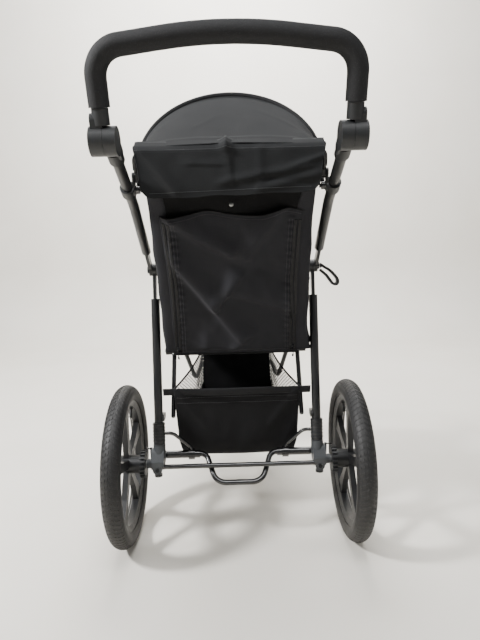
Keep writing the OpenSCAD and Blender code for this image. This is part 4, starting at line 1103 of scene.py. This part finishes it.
shoulder = []
for side, name in SIDES:
    knots = [up_the_back(side * 0.062, v, ahead) for v, ahead in (
        (0.334, 0.030), (0.328, 0.0385), (0.30, 0.0415), (0.24, 0.0400), (0.18, 0.0410), (0.13, 0.0400),
        (0.112, 0.0375))]
    piece = strap(f"shoulder_strap_{name}", smooth_path(knots, 50), 34, (1, 0, 0), "backrest")
    cut_from(piece)
    shoulder.append(piece)
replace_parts(shoulder[0], "shoulder_straps")

top_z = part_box("lap_straps")[0].z * 1000
lap = []
for side, name in SIDES:
    way = Vector((math.cos(math.radians(22)), -side * math.sin(math.radians(22)), 0))
    knots = [place(side * x, y, z) for x, y, z in
             ((27, 203, top_z + 2.2), (60, 190, top_z + 2.4), (95, 176, top_z + 1.5), (128, 162, top_z - 1.5),
              (150, 153, top_z - 10))]
    piece = strap(f"lap_belt_{name}", smooth_path(knots, 40), 30, (side * 0.37, 0.93, 0), "front_frame")
    cut_from(piece)
    lap.append(piece)
crotch = strap("crotch_strap", smooth_path([place(0, y, z) for y, z in (
    (208, top_z + 2.5), (225, top_z + 2.5), (255, top_z + 1.5), (275, top_z - 3), (284, top_z - 12))], 40), 30,
    (1, 0, 0), "front_frame")
cut_from(crotch)
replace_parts(lap[0], "lap_straps")

buckle_low, buckle_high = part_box("harness_buckle")
buckle_mid = (buckle_low + buckle_high) / 2
buckle = new_piece("side_release_buckle", *slab(buckle_low, buckle_high), black_nylon)
bevel = buckle.modifiers.new("round", "BEVEL")
bevel.width, bevel.segments = 0.005, 5
crown = buckle.modifiers.new("finer", "SUBSURF")
crown.levels = crown.render_levels = 1
made_plain(buckle)
for vertex in buckle.data.vertices:
    from_middle = (vertex.co - buckle_mid)
    if abs(from_middle.x) > 0.012:
        vertex.co.y -= math.copysign(0.004, from_middle.y) * min(1, (abs(from_middle.x) - 0.012) / 0.01)
    if from_middle.z > 0.003:
        vertex.co.z -= 0.0025 * (from_middle.x / 0.024) ** 2
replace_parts(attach(buckle, "front_frame"), "harness_buckle")
button_ring = [buckle_mid + Vector((0.011 * math.cos(q), 0.009 * math.sin(q), 0.0058))
               for q in np.linspace(0, 2 * math.pi, 41)[:-1]]
button = new_piece("buckle_button_ring", *swept_tube(button_ring, 0.0009, 6, loop=True, side_way=(0, 0, 1)), dark_nylon)
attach(button, "front_frame")

# The pull loop hangs out from the right-hand fold pivot on doubled webbing
pull_top = Vector((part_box("release_strap")[0].x, fold_at.y, fold_at.z))
loop_knots = [pull_top + Vector((x, y, z)) / 1000 for x, y, z in (
    (3, 1, 3), (13, 0, -4), (27, -1, -13), (41, -2, -28), (47, -2, -39), (45, -1, -48), (36, 0, -48), (27, 1, -37),
    (19, 1, -26), (9, 2, -17), (3, 2, -11))]
pull_loop = strap("release_pull_loop", smooth_path(loop_knots, 70), 20, (0, 1, 0), "front_frame", 6.4)
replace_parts(pull_loop, "release_strap")
cut_from(pull_loop)
screws("release_loop_rivet", [pull_top + Vector((0.0032, 0, 0))], (1, 0, 0), 6.5, "front_frame",
       black_oxide)


# ------------------------------------------------------------------- basket
# A soft pouch of black cloth slung between the rear legs and the front tubes.
# Its sides are open mesh with a bound edge, and its floor sags a little.
POUCH_TOP_HALF = 160


def basket_half(u):
    """Half width of the pouch along its profile, u from the rear top over the floor to the front top."""
    return np.interp(u, [0, 0.06, 0.25, 0.36, 0.42, 0.5, 0.62, 0.70, 1.0],
                     [POUCH_TOP_HALF, 160, 157, 145, 126, 121, 115, 107, 100])


profile_knots = [(24, 386), (40, 332), (58, 272), (74, 218), (92, 187), (130, 179), (190, 178), (250, 184), (284, 204),
                 (292, 270), (296, 350), (300, 440)]
profile = smooth_path([(0, y, z) for y, z in profile_knots], 130)[:, 1:]
reach = np.concatenate([[0], np.cumsum(np.linalg.norm(np.diff(profile, axis=0), axis=1))])
u = reach / reach[-1]
across = np.linspace(-1, 1, 90)
x = basket_half(u)[:, None] * across[None]
y = np.repeat(profile[:, :1], 90, 1)
z = np.repeat(profile[:, 1:], 90, 1)
rear_wall = np.exp(-((u - 0.2) / 0.14) ** 2)[:, None]
y = y - 7 * rear_wall * np.cos(across * math.pi / 2)[None] ** 0.8
floor = np.exp(-((u - 0.48) / 0.16) ** 2)[:, None]
z = z - 6 * floor * np.cos(across * math.pi / 2)[None] + 10 * floor * np.clip(np.abs(across) - 0.72, 0, 1)[None] / 0.28
down = (386 - z)
tug = sum(folds(x, -down, [
    ((s * 148, -12), (s * 92, -96), 4.0, 12, 9), ((s * 148, -14), (s * 30, -44), 2.5, 8, 14),
    ((s * 140, -120), (s * 118, -180), 3, 9, 9)]) for s in (-1, 1))
y = y - tug * np.clip(1 - u * 3, 0, 1)[:, None] ** 0.5 - 1.6 * rumpled(x, down, 85, 91) * rear_wall
y = y + 2.0 * rumpled(x, z, 80, 95) * np.clip((u - 0.72) * 8, 0, 1)[:, None]
pouch_grid = np.stack([x / 1000, rear_axle.y + y / 1000, z / 1000], -1)
pouch = cloth("basket_pouch", pouch_grid[:, ::-1], basket_cloth, 1.4)
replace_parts(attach(pouch, "front_frame"), "basket")

mesh_net, tree, shader = finish_of("knitted_polyester_net", Roughness=0.8)
mottled(tree, shader, "#161617", "#232324", 20, 0.8, 0.05)


def pouch_edge(side, at):
    """A point on the pouch's side edge, at a share of the way along its profile."""
    return np.array([np.interp(at, u, pouch_grid[:, -1 if side > 0 else 0, k]) for k in range(3)])


def gusset_grid(side, high, wide):
    """The open side of the pouch, between its rear wall and its front wall."""
    corner_rear, corner_front = 0.40, 0.66
    rows = []
    for h in np.linspace(0, 1, high):
        a = pouch_edge(side, corner_rear * (1 - h))
        b = pouch_edge(side, corner_front + (1 - corner_front) * h)
        row = [a + (b - a) * q + np.array([-side * 0.006 * math.sin(math.pi * q), 0, -0.004 * math.sin(math.pi * q)])
               for q in np.linspace(0, 1, wide)]
        rows.append(row)
    return np.array(rows)


nets = []
for side, name in SIDES:
    grid = gusset_grid(side, 44, 44)
    threads = []
    for k in range(0, 44 + 44, 2):
        for flip in (False, True):
            line = [grid[i, k - i] if not flip else grid[i, 43 - (k - i)] for i in range(44) if 0 <= k - i < 44]
            if len(line) > 2:
                threads.append(swept_tube(line[::2] + ([line[-1]] if len(line) % 2 == 0 else []), 0.0008, 4))
    net = new_piece(f"basket_net_{name}", *gathered(threads), mesh_net)
    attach(net, "front_frame")
    bound = new_piece(f"basket_net_binding_{name}", *swept_tube(grid[-1], 0.0024, 8), binding_tape)
    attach(bound, "front_frame")
    nets += [net, bound]
    low_cloth = cloth(f"basket_gusset_{name}", grid[:22] if side < 0 else grid[:22, ::-1], basket_cloth, 1.2)
    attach(low_cloth, "front_frame")
    cut_from(low_cloth)

band_line = []
for x in np.linspace(-188, 188, 90):
    bulge = 7.6 * math.cos(math.radians(min(abs(x), POUCH_TOP_HALF) / POUCH_TOP_HALF * 90)) ** 0.8
    band_line.append(place(x, 24 - bulge - 1.6, 0))
band_rows = [[p + Vector((0, 0.0012 * k, (387.5 - k * 4.6 + 0.8 * math.sin(p.x * 30)) / 1000)) for p in band_line]
             for k in range(5)]
band = cloth("basket_top_band", np.array([[tuple(p) for p in row] for row in band_rows])[:, ::-1], binding_tape, 2.2)
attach(band, "front_frame")
cut_from(band)
front_hem = new_piece("basket_front_hem", *swept_tube(pouch_grid[-1], 0.0022, 8), binding_tape)
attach(front_hem, "front_frame")
for side, name in SIDES:
    end = place(side * 186, 306, 547)
    knots = [Vector(pouch_grid[-2, -1 if side > 0 else 0]), place(side * 128, 303, 478),
             place(side * 160, 305, 515), end]
    piece = strap(f"basket_front_strap_{name}", smooth_path(knots, 24), 16, (0.5, 0.1, 0.5 * -side), "front_frame")
    cut_from(piece)
stitched("basket_stitches", [[pouch_grid[6, k] + np.array([0, -0.0011, 0]) for k in range(2, 88)],
                             [pouch_grid[9, k] + np.array([0, -0.0011, 0]) for k in range(2, 88)]], "front_frame")
cut_from(pouch)


# ---------------------------------------------------------------- footrest
# Raised ribs on the moulded footrest board keep small shoes from slipping.
board_low, board_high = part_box("footrest_board")
tilt = math.atan2(333 - 304, 548 - 436)
rib_way = Vector((0, math.cos(tilt), math.sin(tilt)))
rib_start = place(0, 436, 304) + Vector((0, -math.sin(tilt), math.cos(tilt))) * 0.0032
half_rib = (board_high.x - board_low.x) / 2 - 0.012
rib_mesh = swept_tube([(-half_rib, 0, 0), (half_rib, 0, 0)], 0.0016, 8, flat=1.0, side_way=(0, 0, 1))
board_ribs = laid("footrest_ribs", [[rib_start + rib_way * 0.006, rib_start + rib_way * 0.088]], 8.2,
                  rib_mesh, black_nylon)
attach(board_ribs, "front_frame")
